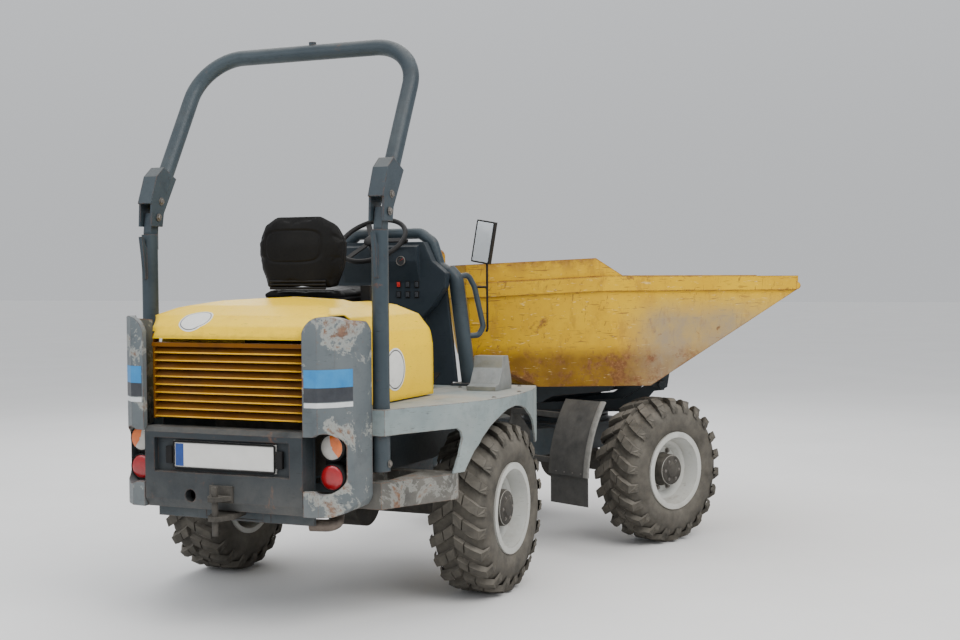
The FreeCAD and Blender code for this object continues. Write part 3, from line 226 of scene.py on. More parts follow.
# how shiny the surfaces are that differ from the rest
SPEC = {"seat_cover": 0.10, "black_plastic": 0.14, "hood_yellow": 0.22, "grille_yellow": 0.12, "frame_paint": 0.26, "guard_paint": 0.30, "tyre_rubber": 0.15, "guard_rubber": 0.25, "cast_dark": 0.2, "console_slate": 0.16, "disc_white": 0.2, "slat_edge_lit": 0.25}


def worn_paint(name, base, light, dark, rust=0.5, dust=0.35, rough=0.42, chip=0.5, dust_z=(0.2, 1.1), bevel=0.005, pale=0.0):
    """Painted steel: uneven paint, scratches, chips with rust, dust that lies on top and low down."""
    n = N(name)
    big = n.noise(1.7, 5, 0.6)
    mid = n.noise(9, 6, 0.65)
    fine = n.noise(70, 4, 0.6)
    c = n.mix(n.range(big, 0.35, 0.65), base, light)
    c = n.mix(n.range(mid, 0.52, 0.75, 0, 0.55), c, dark)
    # long thin scratches
    w = n.noise(26, 3, 0.5, n.scaled(1.0, 1.0, 9.0), 0.6)
    scr = n.range(w, 0.66, 0.70, 0, 0.5)
    c = n.mix(scr, c, [x * 0.45 for x in dark])
    # chips and rust
    edge = n.edge(bevel * 1.6)
    patch = n.noise(5.5, 8, 0.72, dist=0.4)
    spot = n.range(n.noise(34, 6, 0.7), 0.62, 0.70)
    r1 = n.range(patch, 0.66 - 0.08 * rust, 0.71 - 0.08 * rust)
    e1 = n.math("MULTIPLY", edge, n.range(n.noise(18, 6, 0.7), 0.40, 0.56), True)
    chipm = n.math("MAXIMUM", n.math("MULTIPLY", r1, rust), n.math("MULTIPLY", e1, chip), True)
    rustc = n.ramp(n.noise(60, 6, 0.7), [(0.3, (0.060, 0.024, 0.012)), (0.5, (0.14, 0.055, 0.024)), (0.72, (0.27, 0.14, 0.075))])
    if pale:
        # primer that shows round the rust
        halo = n.range(patch, 0.610 - 0.08 * rust, 0.635 - 0.08 * rust)
        c = n.mix(n.math("MULTIPLY", halo, pale), c, (0.30, 0.31, 0.285))
    c = n.mix(chipm, c, rustc)
    c = n.mix(n.math("MULTIPLY", spot, 0.35 * rust), c, (0.16, 0.07, 0.03))
    # dust
    up = n.range(n.normal_axis("Z"), 0.25, 0.95)
    low = n.range(n.axis("Z"), dust_z[1], dust_z[0])
    dn = n.range(n.noise(4, 7, 0.7), 0.30, 0.70)
    dm = n.math("MULTIPLY", n.math("MAXIMUM", up, n.math("MULTIPLY", low, 0.8)), n.math("MULTIPLY", dn, dust * 1.6), True)
    c = n.mix(dm, c, (0.36, 0.33, 0.28))
    rg = n.math("ADD", n.range(fine, 0.3, 0.7, rough - 0.07, rough + 0.10), n.math("MULTIPLY", n.math("MAXIMUM", chipm, dm), 0.35), True)
    h = n.math("ADD", n.math("MULTIPLY", fine, 0.25), n.math("MULTIPLY", n.math("SUBTRACT", 1.0, chipm), 0.8))
    n.bump(h, 0.35, 0.0012, bevel)
    MATS[name] = n.finish(c, rg, 0.0, SPEC.get(name, 0.32))
    return n.m


def simple(name, a, b, scale=30, rough=(0.5, 0.7), bump=0.3, dist=0.001, metallic=0.0, dust=0.0, bevel=0.003, detail=6):
    n = N(name)
    f = n.noise(scale, detail, 0.65)
    c = n.mix(n.range(f, 0.3, 0.7), a, b)
    if dust:
        up = n.range(n.normal_axis("Z"), -0.2, 0.9)
        dm = n.math("MULTIPLY", n.math("ADD", n.math("MULTIPLY", up, 0.7), 0.3), n.range(n.noise(6, 7, 0.7), 0.3, 0.7, 0.15 * dust, dust), True)
        c = n.mix(dm, c, (0.36, 0.33, 0.28))
    n.bump(n.noise(scale * 3, 5, 0.7), bump, dist, bevel)
    MATS[name] = n.finish(c, n.range(f, 0.3, 0.7, rough[0], rough[1]), metallic, SPEC.get(name, 0.35))
    return n.m


worn_paint("frame_paint", (0.026, 0.038, 0.048), (0.044, 0.060, 0.071), (0.013, 0.020, 0.026), rust=0.40, dust=0.16, rough=0.40)
# the rear bumper's paint: the frame's slate darkened as painted shade for its shadowed top bar and recess; the dust low
# down is dust and also paints the light on the lit lower band
worn_paint("bumper_paint_shaded", (0.018, 0.024, 0.029), (0.030, 0.036, 0.040), (0.009, 0.012, 0.014), rust=0.55, dust=0.22, rough=0.46, dust_z=(0.45, 0.75))
worn_paint("guard_paint", (0.085, 0.102, 0.112), (0.130, 0.148, 0.155), (0.045, 0.056, 0.064), rust=0.85, dust=0.20, rough=0.44, chip=0.9, pale=0.8)
worn_paint("hood_yellow", (0.95, 0.60, 0.0), (0.98, 0.64, 0.0), (0.86, 0.52, 0.0), rust=0.02, dust=0.03, rough=0.36, chip=0.15, dust_z=(0.4, 1.0), bevel=0.03)
# the grille's yellow paint darkened to a deep brown-orange: painted shade for the slats' shadowed louvre faces
worn_paint("grille_yellow", (0.13, 0.045, 0.001), (0.19, 0.068, 0.002), (0.06, 0.020, 0.002), rust=0.30, dust=0.06, rough=0.45)
worn_paint("skip_yellow", (0.78, 0.46, 0.02), (0.84, 0.52, 0.03), (0.55, 0.29, 0.015), rust=0.6, dust=0.45, rough=0.42, dust_z=(0.7, 1.2), chip=0.8, bevel=0.006)
worn_paint("rim_grey", (0.42, 0.43, 0.41), (0.55, 0.56, 0.53), (0.26, 0.26, 0.24), rust=0.35, dust=0.5, rough=0.5, dust_z=(0.0, 1.2))
worn_paint("deck_paint", (0.14, 0.185, 0.195), (0.27, 0.32, 0.32), (0.065, 0.09, 0.10), rust=0.45, dust=0.60, rough=0.55, chip=0.9)
worn_paint("step_paint", (0.040, 0.042, 0.041), (0.11, 0.105, 0.095), (0.022, 0.023, 0.023), rust=0.9, dust=0.35, rough=0.6, chip=1.0, pale=0.5)
simple("cast_dark", (0.014, 0.013, 0.012), (0.045, 0.041, 0.036), 24, (0.55, 0.8), 0.5, 0.002, 0.0, 0.35)
simple("bare_steel", (0.10, 0.08, 0.07), (0.22, 0.18, 0.15), 40, (0.4, 0.65), 0.4, 0.001, 0.8, 0.2)
simple("plate_white", (0.62, 0.61, 0.57), (0.70, 0.69, 0.66), 12, (0.35, 0.5), 0.1, 0.0005, 0.0, 0.15, 0.001)
simple("seat_cover", (0.0035, 0.0035, 0.004), (0.0075, 0.0075, 0.008), 90, (0.42, 0.58), 0.35, 0.0008, 0.0, 0.03, 0.004)
simple("black_plastic", (0.005, 0.005, 0.0055), (0.011, 0.011, 0.012), 60, (0.4, 0.6), 0.3, 0.0006, 0.0, 0.05)
simple("galvanised", (0.24, 0.26, 0.26), (0.36, 0.38, 0.38), 22, (0.35, 0.55), 0.2, 0.0006, 0.75, 0.35)
simple("guard_rubber", (0.026, 0.027, 0.028), (0.062, 0.062, 0.060), 20, (0.5, 0.75), 0.4, 0.001, 0.0, 0.25)
simple("rod_chrome", (0.5, 0.5, 0.5), (0.62, 0.62, 0.62), 50, (0.12, 0.22), 0.1, 0.0003, 1.0)
simple("tyre_rubber", (0.024, 0.023, 0.021), (0.078, 0.070, 0.058), 14, (0.72, 0.90), 0.5, 0.0015, 0.0, 0.60, 0.004, 9)


def lens(name, c):
    n = N(name)
    f = n.noise(40, 3, 0.5)
    n.b.inputs["Transmission Weight"].default_value = 0.15
    v = n.add("ShaderNodeTexVoronoi", Vector=n.co)
    v.inputs["Scale"].default_value = 180
    n.bump(v.outputs["Distance"], 0.25, 0.0008)
    MATS[name] = n.finish(n.mix(n.range(f, 0.3, 0.7), [x * 0.8 for x in c], c), 0.22, 0.0, None, 0.6)


lens("lamp_orange", (0.75, 0.16, 0.02))
lens("lamp_red", (0.45, 0.006, 0.012))
lens("lamp_clear", (0.50, 0.48, 0.44))

SLOT_OF = {s["node"]: s["material_slot"] for s in frame["record"]["subparts"]}
OVER = {"side_deck_left": "deck_paint", "side_deck_right": "deck_paint", "lower_steps": "step_paint", "corner_guards": "guard_paint", "rear_bumper": "bumper_paint_shaded", "floor_plate": "deck_paint", "rear_lamps": "black_plastic"}
for name, o in NODES.items():
    key = OVER.get(name, SLOT_OF.get(name, "frame_paint"))
    m = MATS.get(key) or MATS["frame_paint"]
    o.data.materials.clear()
    o.data.materials.append(m)


# ------------------------------------------------------------------ mesh helpers
def make(name, verts, faces, mat, body, M=REAR, smooth=False):
    me = bpy.data.meshes.new(name)
    me.from_pydata([tuple(M @ Vector(v)) for v in verts], [], faces)
    me.update()
    bm = bmesh.new()
    bm.from_mesh(me)
    bmesh.ops.recalc_face_normals(bm, faces=bm.faces)
    bm.to_mesh(me)
    bm.free()
    if smooth:
        for p in me.polygons:
            p.use_smooth = True
    o = bpy.data.objects.new(name, me)
    o.data.materials.append(MATS[mat] if isinstance(mat, str) else mat)
    bpy.context.scene.collection.objects.link(o)
    if body:
        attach(o, body)
    return o


# ------------------------------------------------------------------ tyres
def tyre(tag, M, centre, body, node, seed):
    """Carcass with bead, sidewall rings and rows of lugs; y is the axle."""
    R, W = 0.419, 0.148
    prof = [(-0.122, 0.204), (-0.128, 0.214), (-0.131, 0.228), (-0.137, 0.238), (-0.1425, 0.262), (-0.1445, 0.285), (-0.1425, 0.312), (-0.138, 0.335), (-0.132, 0.352),
            (-0.118, 0.372), (-0.09, 0.384), (-0.045, 0.391), (0, 0.393)]
    prof = prof + [(-y, r) for y, r in reversed(prof[:-1])] + [(0.118, 0.2035), (-0.118, 0.2035)]
    seg = 96
    verts, faces = [], []
    for k in range(seg):
        a = 2 * math.pi * k / seg
        for y, r in prof:
            verts.append((r * math.cos(a), y, r * math.sin(a)))
    n = len(prof)
    for k in range(seg):
        for i in range(n):
            j = (i + 1) % n
            q = (k + 1) % seg
            faces.append((k * n + i, k * n + j, q * n + j, q * n + i))
    lug_v, lug_f = [], []
    rnd = random.Random(seed)

    def block(pts, a0, depth_in, sharp=0.004):
        """pts: (offset along the tread in metres, y, r) outline on the tread; pushed in to the carcass."""
        base = len(lug_v)
        cx = sum(p[0] for p in pts) / len(pts)
        cy = sum(p[1] for p in pts) / len(pts)
        for grow, dr in ((1.10, -depth_in), (1.0, -sharp), (0.955, 0.0)):
            for u, y, r in pts:
                uu, yy = cx + (u - cx) * grow, cy + (y - cy) * (grow if abs(y) < 0.1 else 1.0)
                rr = r + dr
                a = a0 + uu / 0.4
                lug_v.append((rr * math.cos(a), yy, rr * math.sin(a)))
        m = len(pts)
        for lv in (0, 1):
            for i in range(m):
                j = (i + 1) % m
                lug_f.append((base + lv * m + i, base + lv * m + j, base + (lv + 1) * m + j, base + (lv + 1) * m + i))
        lug_f.append(tuple(base + 2 * m + i for i in range(m)))

    count = 22
    step = 2 * math.pi / count
    pitch = step * 0.4
    for s in (-1, 1):
        for k in range(count):
            a0 = k * step + (step / 2 if s > 0 else 0)
            ro = 0.4185
            # block beside the centre line
            block([(-0.036, s * 0.003, ro), (0.014, s * 0.003, ro), (0.043, s * 0.045, ro), (-0.006, s * 0.050, ro)], a0, 0.028)
            # long block out to the shoulder, with a notch in its end
            block([(0.000, s * 0.0545, ro), (0.049, s * 0.049, ro), (0.072, s * 0.088, ro - 0.001), (0.092, s * 0.124, ro - 0.010), (0.071, s * 0.1275, ro - 0.0115), (0.046, s * 0.1305, ro - 0.012), (0.022, s * 0.094, ro - 0.001)], a0, 0.031)
            block([(0.047, s * 0.1265, ro - 0.013), (0.092, s * 0.1215, ro - 0.012), (0.098, s * 0.1452, ro - 0.050), (0.080, s * 0.1465, ro - 0.056), (0.074, s * 0.1455, ro - 0.044), (0.068, s * 0.1465, ro - 0.058), (0.052, s * 0.1465, ro - 0.056)], a0, 0.026)
    off = len(verts)
    verts += lug_v
    faces += [tuple(off + i for i in f) for f in lug_f]
    Mt = M @ Matrix.Translation(centre)
    o = make(tag, verts, faces, "tyre_rubber", body, Mt)
    for p in o.data.polygons:
        p.use_smooth = p.index < seg * n
    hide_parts(node)
    return o


for s, side in ((1, "left"), (-1, "right")):
    tyre("tyre_look_rear_" + side, REAR, (1.145, s * 0.758, 0.419), "rear_wheel_" + side, "tyre_rear_" + side, 11 + s)
    tyre("tyre_look_front_" + side, FRONT, (AXLE_F, s * 0.758, 0.419), "front_wheel_" + side, "tyre_front_" + side, 21 + s)


# ------------------------------------------------------------------ more materials
def skip_paint(name):
    """Scratched yellow with rust spots; the lower panels darker, the pouring side greyer brown low down, the rim rusty.
    """
    n = N(name)
    a = TURN + (SWIVEL - TURN)
    org = SKIP @ Vector((0, 0, 0))

    def along(dx, dy):
        v = n.t.nodes.new("ShaderNodeVectorMath")
        v.operation = "DOT_PRODUCT"
        n.t.links.new(n.co, v.inputs[0])
        v.inputs[1].default_value = (dx, dy, 0)
        return n.math("SUBTRACT", v.outputs["Value"], dx * org.x + dy * org.y)

    lx = along(math.cos(a), -math.sin(a))
    z = n.axis("Z")
    big, mid, fine = n.noise(1.6, 5, 0.6), n.noise(8, 7, 0.68), n.noise(75, 4, 0.6)
    c = n.mix(n.range(big, 0.35, 0.65), (0.56, 0.30, 0.0), (0.70, 0.42, 0.0))
    c = n.mix(n.range(mid, 0.50, 0.74, 0, 0.5), c, (0.42, 0.21, 0.010))
    low = n.range(z, 1.16, 1.08)
    c = n.mix(n.math("MULTIPLY", low, n.range(mid, 0.3, 0.6, 0.65, 0.95)), c, (0.19, 0.085, 0.0))
    # long scratches in two directions
    w1 = n.noise(20, 3, 0.5, n.scaled(0.6, 0.6, 6.0), 0.5)
    w2 = n.noise(16, 3, 0.5, n.scaled(5.0, 1.2, 0.8), 0.9)
    sc = n.math("MAXIMUM", n.range(w1, 0.64, 0.67, 0, 0.75), n.range(w2, 0.66, 0.69, 0, 0.7))
    c = n.mix(sc, c, (0.22, 0.10, 0.02))
    sc2 = n.range(n.noise(24, 3, 0.5, n.scaled(0.8, 0.8, 4.0), 0.8), 0.66, 0.69, 0, 0.5)
    c = n.mix(sc2, c, (0.80, 0.62, 0.28))
    # greyer brown low on the pouring side, below z 1.45
    front = n.range(lx, 0.22, 0.50)
    dn = n.range(n.noise(3.5, 7, 0.7), 0.30, 0.68, 0.25, 0.95)
    band = n.range(z, 1.45, 1.30)
    c = n.mix(n.math("MULTIPLY", n.math("MULTIPLY", front, dn), band), c, (0.30, 0.235, 0.155))
    up = n.range(n.normal_axis("Z"), 0.3, 0.9)
    inner = n.math("MULTIPLY", up, n.range(n.noise(5, 7, 0.7), 0.3, 0.6, 0.35, 0.95))
    c = n.mix(inner, c, (0.235, 0.185, 0.13))
    # rust: spots, rim and edges
    rustc = n.ramp(n.noise(55, 6, 0.7), [(0.3, (0.085, 0.030, 0.014)), (0.5, (0.20, 0.075, 0.028)), (0.72, (0.36, 0.17, 0.08))])
    spot = n.range(n.noise(30, 7, 0.72), 0.615, 0.66)
    patch = n.range(n.noise(4.5, 8, 0.75, dist=0.5), 0.60, 0.66)
    edge = n.edge(0.012)
    e1 = n.math("MULTIPLY", edge, n.range(n.noise(12, 6, 0.7), 0.36, 0.52), True)
    rim = n.range(z, 1.565, 1.66, 0, 0.9)
    rim = n.math("MULTIPLY", rim, n.range(n.noise(10, 7, 0.72), 0.40, 0.56))
    band2 = n.math("MULTIPLY", n.range(n.noise(13, 7, 0.74, n.scaled(1, 1, 0.4)), 0.55, 0.63), 0.8)
    lowr = n.math("MULTIPLY", low, n.range(n.noise(9, 7, 0.72), 0.50, 0.60))
    m = n.math("MAXIMUM", n.math("MAXIMUM", n.math("MULTIPLY", spot, 0.55), e1), n.math("MAXIMUM", n.math("MAXIMUM", rim, n.math("MULTIPLY", patch, 0.8)), n.math("MAXIMUM", n.math("MULTIPLY", lowr, 0.8), n.math("MULTIPLY", band2, 0.35))), True)
    c = n.mix(m, c, rustc)
    rg = n.math("ADD", n.range(fine, 0.3, 0.7, 0.34, 0.52), n.math("MULTIPLY", m, 0.35), True)
    h = n.math("ADD", n.math("MULTIPLY", fine, 0.25), n.math("MULTIPLY", n.math("SUBTRACT", 1.0, m), 0.8))
    n.bump(h, 0.4, 0.0014, 0.006)
    MATS[name] = n.finish(c, rg, 0.0, SPEC.get(name, 0.32))


skip_paint("skip_yellow")
NODES["skip"].data.materials.clear()
NODES["skip"].data.materials.append(MATS["skip_yellow"])
simple("disc_white", (0.70, 0.70, 0.67), (0.80, 0.80, 0.77), 18, (0.25, 0.4), 0.08, 0.0003, 0.0, 0.10, 0.0008)
simple("disc_ring", (0.020, 0.022, 0.026), (0.040, 0.042, 0.048), 30, (0.3, 0.45), 0.1, 0.0003, 0.0, 0.10, 0.0008)
simple("strip_blue", (0.010, 0.045, 0.20), (0.018, 0.065, 0.27), 25, (0.3, 0.45), 0.1, 0.0003, 0.0, 0.10, 0.0008)
simple("panel_blue", (0.012, 0.17, 0.42), (0.03, 0.24, 0.52), 12, (0.35, 0.5), 0.15, 0.0004, 0.0, 0.10, 0.0008)
simple("gauge_dark", (0.012, 0.012, 0.013), (0.02, 0.02, 0.021), 40, (0.35, 0.5), 0.0, 0.0)
simple("strip_dark", (0.018, 0.022, 0.030), (0.035, 0.040, 0.050), 25, (0.3, 0.45), 0.1, 0.0003, 0.0, 0.12, 0.0008)
simple("strip_pale", (0.52, 0.55, 0.56), (0.66, 0.68, 0.68), 25, (0.3, 0.45), 0.1, 0.0003, 0.0, 0.12, 0.0008)
simple("red_plastic", (0.45, 0.012, 0.010), (0.58, 0.020, 0.014), 60, (0.3, 0.45), 0.15, 0.0004, 0.0, 0.08)
simple("nut_steel", (0.10, 0.095, 0.09), (0.24, 0.22, 0.20), 70, (0.35, 0.6), 0.4, 0.0006, 0.7, 0.25, 0.001)
simple("pale_edge", (0.12, 0.12, 0.112), (0.24, 0.235, 0.22), 30, (0.55, 0.75), 0.3, 0.0008, 0.0, 0.3, 0.002)
simple("mirror_glass", (0.62, 0.66, 0.70), (0.70, 0.74, 0.78), 3, (0.08, 0.14), 0.0, 0.0, 0.35)
# colour of the slats' front lips: a brighter copy of the grille yellow, painted highlight for the lit front edges
simple("slat_edge_lit", (0.72, 0.36, 0.010), (0.84, 0.46, 0.018), 40, (0.35, 0.5), 0.15, 0.0004, 0.0, 0.05, 0.001)
for nm in ("seat_pedestal", "control_levers"):
    NODES[nm].data.materials.clear()
    NODES[nm].data.materials.append(MATS["black_plastic"])
NODES["console"].data.materials.clear()
worn_paint("console_slate", (0.020, 0.028, 0.036), (0.032, 0.042, 0.052), (0.012, 0.017, 0.023), rust=0.0, dust=0.12, rough=0.45, chip=0.0, bevel=0.012)
NODES["console"].data.materials.append(MATS["console_slate"])


# ------------------------------------------------------------------ small shapes
def pixel_ray(px, py):
    m = bpy.context.scene.camera.matrix_world
    v = m.to_3x3() @ Vector(((px - 480) / 1400, (320 - py) / 1400, -1.0))
    return m.translation.copy(), v.normalized()


def tree(*names):
    verts, polys = [], []
    for nm in names:
        me = NODES[nm].data
        off = len(verts)
        verts += [v.co.copy() for v in me.vertices]
        polys += [tuple(off + i for i in q.vertices) for q in me.polygons]
    return BVHTree.FromPolygons(verts, polys)


def at_pixel(px, py, bvh, far=30.0):
    o, d = pixel_ray(px, py)
    hit, nrm, idx, dist = bvh.ray_cast(o, d, far)
    if nrm is not None and nrm.dot(d) > 0:
        nrm = -nrm
    return hit, nrm


def on_x(px, py, x):
    """Rear-frame point (y, z) on the plane x, all in metres."""
    o, d = pixel_ray(px, py)
    q = REAR.inverted() @ o
    t = (x - q.x) / d.x
    return q.y + d.y * t, q.z + d.z * t


def basis(n, up=Vector((0, 0, 1))):
    n = n.normalized()
    u = up.cross(n)
    if u.length < 1e-4:
        u = Vector((1, 0, 0)).cross(n)
    u.normalize()
    return u, n.cross(u).normalized(), n


def world_mesh(name, verts, faces, mat, body, smooth=True):
    return make(name, verts, faces, mat, body, Matrix.Identity(4), smooth)


def decal_disc(name, bvh, centre, normal, r, mats, body, rings=10, seg=72, lift=0.0016, squash=1.0):
    """A round sheet laid on a surface: mats is a list of (outer radius share, material)."""
    u, w, n = basis(normal)
    objs = []
    inner = 0.0
    for k, (share, mat) in enumerate(mats):
        verts, faces = [], []
        r0, r1 = inner * r, share * r
        for i in range(rings + 1):
            rr = r0 + (r1 - r0) * i / rings
            for j in range(seg):
                a = 2 * math.pi * j / seg
                p = centre + u * (rr * math.cos(a)) + w * (rr * math.sin(a) * squash)
                hit, hn, idx, dist = bvh.ray_cast(p + n * 0.12, -n, 0.4)
                q = hit if hit is not None else p
                verts.append(q + n * lift)
        for i in range(rings):
            for j in range(seg):
                jj = (j + 1) % seg
                faces.append((i * seg + j, i * seg + jj, (i + 1) * seg + jj, (i + 1) * seg + j))
        # a thin rim that closes the sheet onto the surface
        if k == len(mats) - 1:
            base = len(verts)
            for j in range(seg):
                verts.append(verts[rings * seg + j] - n * (lift + 0.001))
            for j in range(seg):
                jj = (j + 1) % seg
                faces.append((rings * seg + j, rings * seg + jj, base + jj, base + j))
        objs.append(world_mesh("%s_%d" % (name, k), verts, faces, mat, body))
        inner = share
    return objs


def decal_quad(name, bvh, corners, direction, mat, body, nu=24, nv=8, lift=0.0016):
    """A sheet between four world points, laid on a surface along a direction."""
    a, b, c, d = corners
    n = -direction.normalized()
    verts, faces, miss = [], [], set()
    for j in range(nv + 1):
        for i in range(nu + 1):
            s, t = i / nu, j / nv
            p = (a * (1 - s) + b * s) * (1 - t) + (d * (1 - s) + c * s) * t
            hit, hn, idx, dist = bvh.ray_cast(p + n * 0.2, -n, 0.6)
            if hit is None:
                miss.add(len(verts))
            q = hit if hit is not None else p
            verts.append(q + n * lift)
    for j in range(nv):
        for i in range(nu):
            k = j * (nu + 1) + i
            f = (k, k + 1, k + nu + 2, k + nu + 1)
            if not miss.intersection(f):
                faces.append(f)
    return world_mesh(name, verts, faces, mat, body)


def lathe(name, centre, axis, prof, mat, body, seg=40, M=None):
    """Turned shape: prof is (distance along the axis, radius)."""
    u, w, n = basis(axis, Vector((0, 0, 1)) if abs(axis.normalized().z) < 0.9 else Vector((1, 0, 0)))
    verts, faces = [], []
    for h, rr in prof:
        for j in range(seg):
            a = 2 * math.pi * j / seg
            verts.append(centre + n * h + (u * math.cos(a) + w * math.sin(a)) * max(rr, 1e-5))
    for i in range(len(prof) - 1):
        for j in range(seg):
            jj = (j + 1) % seg
            faces.append((i * seg + j, i * seg + jj, (i + 1) * seg + jj, (i + 1) * seg + j))
    o = world_mesh(name, verts, faces, mat, body)
    return o


def bolts(name, places, mat, body, r=0.010, h=0.008, washer=1.45):
    """Hexagon heads on washers with bevelled tops; places are (point, direction)."""
    verts, faces = [], []
    for k, (p, d) in enumerate(places):
        u, w, n = basis(d, Vector((0, 0, 1)) if abs(d.normalized().z) < 0.9 else Vector((1, 0, 0)))
        for prof, seg, ph in ((((-0.001, r * washer), (0.002, r * washer), (0.002, r * 0.8)), 20, 0.0), (((0.002, r), (h - 0.0015, r), (h, r * 0.84), (h, 0.0)), 6, 0.3 * k)):
            off = len(verts)
            for hh, rr in prof:
                for j in range(seg):
                    a = 2 * math.pi * j / seg + ph
                    verts.append(p + n * hh + (u * math.cos(a) + w * math.sin(a)) * max(rr, 1e-5))
            for i in range(len(prof) - 1):
                for j in range(seg):
                    jj = (j + 1) % seg
                    faces.append((off + i * seg + j, off + i * seg + jj, off + (i + 1) * seg + jj, off + (i + 1) * seg + j))
    return world_mesh(name, verts, faces, mat, body, False)


def rounded_box(name, lo, hi, mat, body, bevel=0.004, M=REAR, seg=3, taper=None):
    bm = bmesh.new()
    bmesh.ops.create_cube(bm, size=1.0)
    for v in bm.verts:
        v.co = Vector([lo[i] + (v.co[i] + 0.5) * (hi[i] - lo[i]) for i in range(3)])
    if taper:
        taper(bm)
    bmesh.ops.bevel(bm, geom=list(bm.edges), offset=bevel, segments=seg, profile=0.6, affect="EDGES", clamp_overlap=True)
    verts = [v.co.copy() for v in bm.verts]
    faces = [tuple(v.index for v in f.verts) for f in bm.faces]
    bm.verts.index_update()
    faces = [tuple(v.index for v in f.verts) for f in bm.faces]
    bm.free()
    return make(name, verts, faces, mat, body, M, False)


def tube(name, pts, r, mat, body, M=REAR, seg=12, closed=False):
    P = [M @ Vector(q) for q in pts]
    n = len(P)
    verts, faces = [], []
    prev = None
    for i in range(n):
        a = P[(i - 1) % n] if (closed or i) else P[0]
        b = P[(i + 1) % n] if (closed or i < n - 1) else P[-1]
        t = (b - a).normalized()
        if prev is None:
            u = t.cross(Vector((0, 0, 1)))
            if u.length < 1e-3:
                u = t.cross(Vector((1, 0, 0)))
        else:
            u = prev - t * prev.dot(t)
        u.normalize()
        prev = u
        w = t.cross(u)
        for j in range(seg):
            an = 2 * math.pi * j / seg
            verts.append(P[i] + (u * math.cos(an) + w * math.sin(an)) * r)
    m = n if closed else n - 1
    for i in range(m):
        q = (i + 1) % n
        for j in range(seg):
            jj = (j + 1) % seg
            faces.append((i * seg + j, i * seg + jj, q * seg + jj, q * seg + j))
    if not closed:
        faces.append(tuple(range(seg)))
        faces.append(tuple((n - 1) * seg + j for j in range(seg)))
    return world_mesh(name, verts, faces, mat, body)


# ------------------------------------------------------------------ hood discs
hood_bvh = tree("engine_hood")
P, nn = at_pixel(196, 320, hood_bvh)
if P is not None:
    depth = (P - bpy.context.scene.camera.matrix_world.translation).dot(VIEW_D)
    decal_disc("hood_disc_rear", hood_bvh, P, (REAR.to_3x3() @ Vector((-0.70, 0, 0.71))), 17.6 * depth / 1400, [(0.86, "disc_white"), (0.915, "disc_ring"), (1.0, "disc_white")], "hood")
sx = Vector((0.600, -0.535, 1.131))
for s, tag in ((-1, "right"), (1, "left")):
    c = REAR @ Vector((sx.x, s * 0.535, sx.z))
    decal_disc("hood_disc_" + tag, hood_bvh, c, Vector((0, s, 0)), 0.100, [(0.86, "disc_white"), (0.915, "disc_ring"), (1.0, "disc_white")], "hood", rings=6)

# ------------------------------------------------------------------ panels on the corner guards
guard_bvh = tree("corner_guards")
for k, (p0, p1, mat) in enumerate(((370, 388, "panel_blue"), (388, 402, "strip_dark"), (403, 408, "strip_pale"))):
    ya, yb = -0.424, -0.586
    _, z0 = on_x(325, p0, 0.0)
    _, z1 = on_x(325, p1, 0.0)
    for s, tag in ((1, "right"), (-1, "left")):
        q = [REAR @ Vector((0, s * y, z)) for y, z in ((ya, z0), (yb, z0), (yb, z1), (ya, z1))]
        decal_quad("guard_panel_%s_%d" % (tag, k), guard_bvh, q, Vector((1, 0, 0)), mat, "rear_unit")

# ------------------------------------------------------------------ lamps
ly, lz = 0.503, (0.828, 0.698)
back = REAR.to_3x3() @ Vector((-1, 0, 0))
for s, tag in ((1, "left"), (-1, "right")):
    for k, z in enumerate(lz):
        c = REAR @ Vector((0.066, s * ly, z))
        lathe("lamp_bezel_%s_%d" % (tag, k), c, back, [(-0.004, 0.0595), (0.006, 0.0597), (0.009, 0.058), (0.009, 0.0545), (0.004, 0.0535)], "black_plastic", "rear_unit", 48)
        dome = [(0.003, 0.054), (0.006, 0.0535), (0.0085, 0.051), (0.0105, 0.042), (0.0115, 0.030), (0.012, 0.016), (0.012, 0.0)]
        lathe("lamp_lens_%s_%d" % (tag, k), c, back, dome, "lamp_red" if k else "lamp_clear", "rear_unit", 48)
        if not k:
            # the orange part: a wedge towards the outer side of the lens
            verts, faces = [], []
            u, w, n = basis(back)
            out = REAR.to_3x3() @ Vector((0, s, 0.45)).normalized()
            side_v = n.cross(out)
            m = 14
            for i in range(m + 1):
                for j in range(m + 1):
                    a = math.pi * (-0.42 + 0.84 * i / m)
                    r0, r1 = 0.006, 0.0525
                    rr = r0 + (r1 - r0) * j / m
                    hgt = 0.0128 - 0.0045 * (rr / 0.054) ** 4 * 1.1
                    verts.append(c + n * hgt + (out * math.cos(a) + side_v * math.sin(a)) * rr)
            for i in range(m):
                for j in range(m):
                    q = i * (m + 1) + j
                    faces.append((q, q + 1, q + m + 2, q + m + 1))
            world_mesh("lamp_amber_" + tag, verts, faces, "lamp_orange", "rear_unit")

# ------------------------------------------------------------------ number plate
rounded_box("plate_blank", (-0.0195, -0.258, 0.722), (-0.0158, 0.258, 0.828), "plate_white", "rear_unit", 0.0014)
rounded_box("plate_strip", (-0.0199, 0.212, 0.7245), (-0.0190, 0.2555, 0.8255), "strip_blue", "rear_unit", 0.0004)
for s in (-1, 1):
    rounded_box("plate_clip_%s" % ("left" if s > 0 else "right"), (-0.026, min(s * 0.272, s * 0.305), 0.735), (-0.008, max(s * 0.272, s * 0.305), 0.812), "black_plastic", "rear_unit", 0.004)
fr = [(-0.021, -0.2645, 0.7155), (-0.021, 0.2645, 0.7155), (-0.021, 0.2645, 0.8345), (-0.021, -0.2645, 0.8345)]
pts = []
for i in range(4):
    a, b = Vector(fr[i]), Vector(fr[(i + 1) % 4])
    for k in range(12):
        pts.append(a.lerp(b, 0.02 + 0.96 * k / 11))
tube("plate_frame", pts, 0.0042, "black_plastic", "rear_unit", closed=True, seg=8)

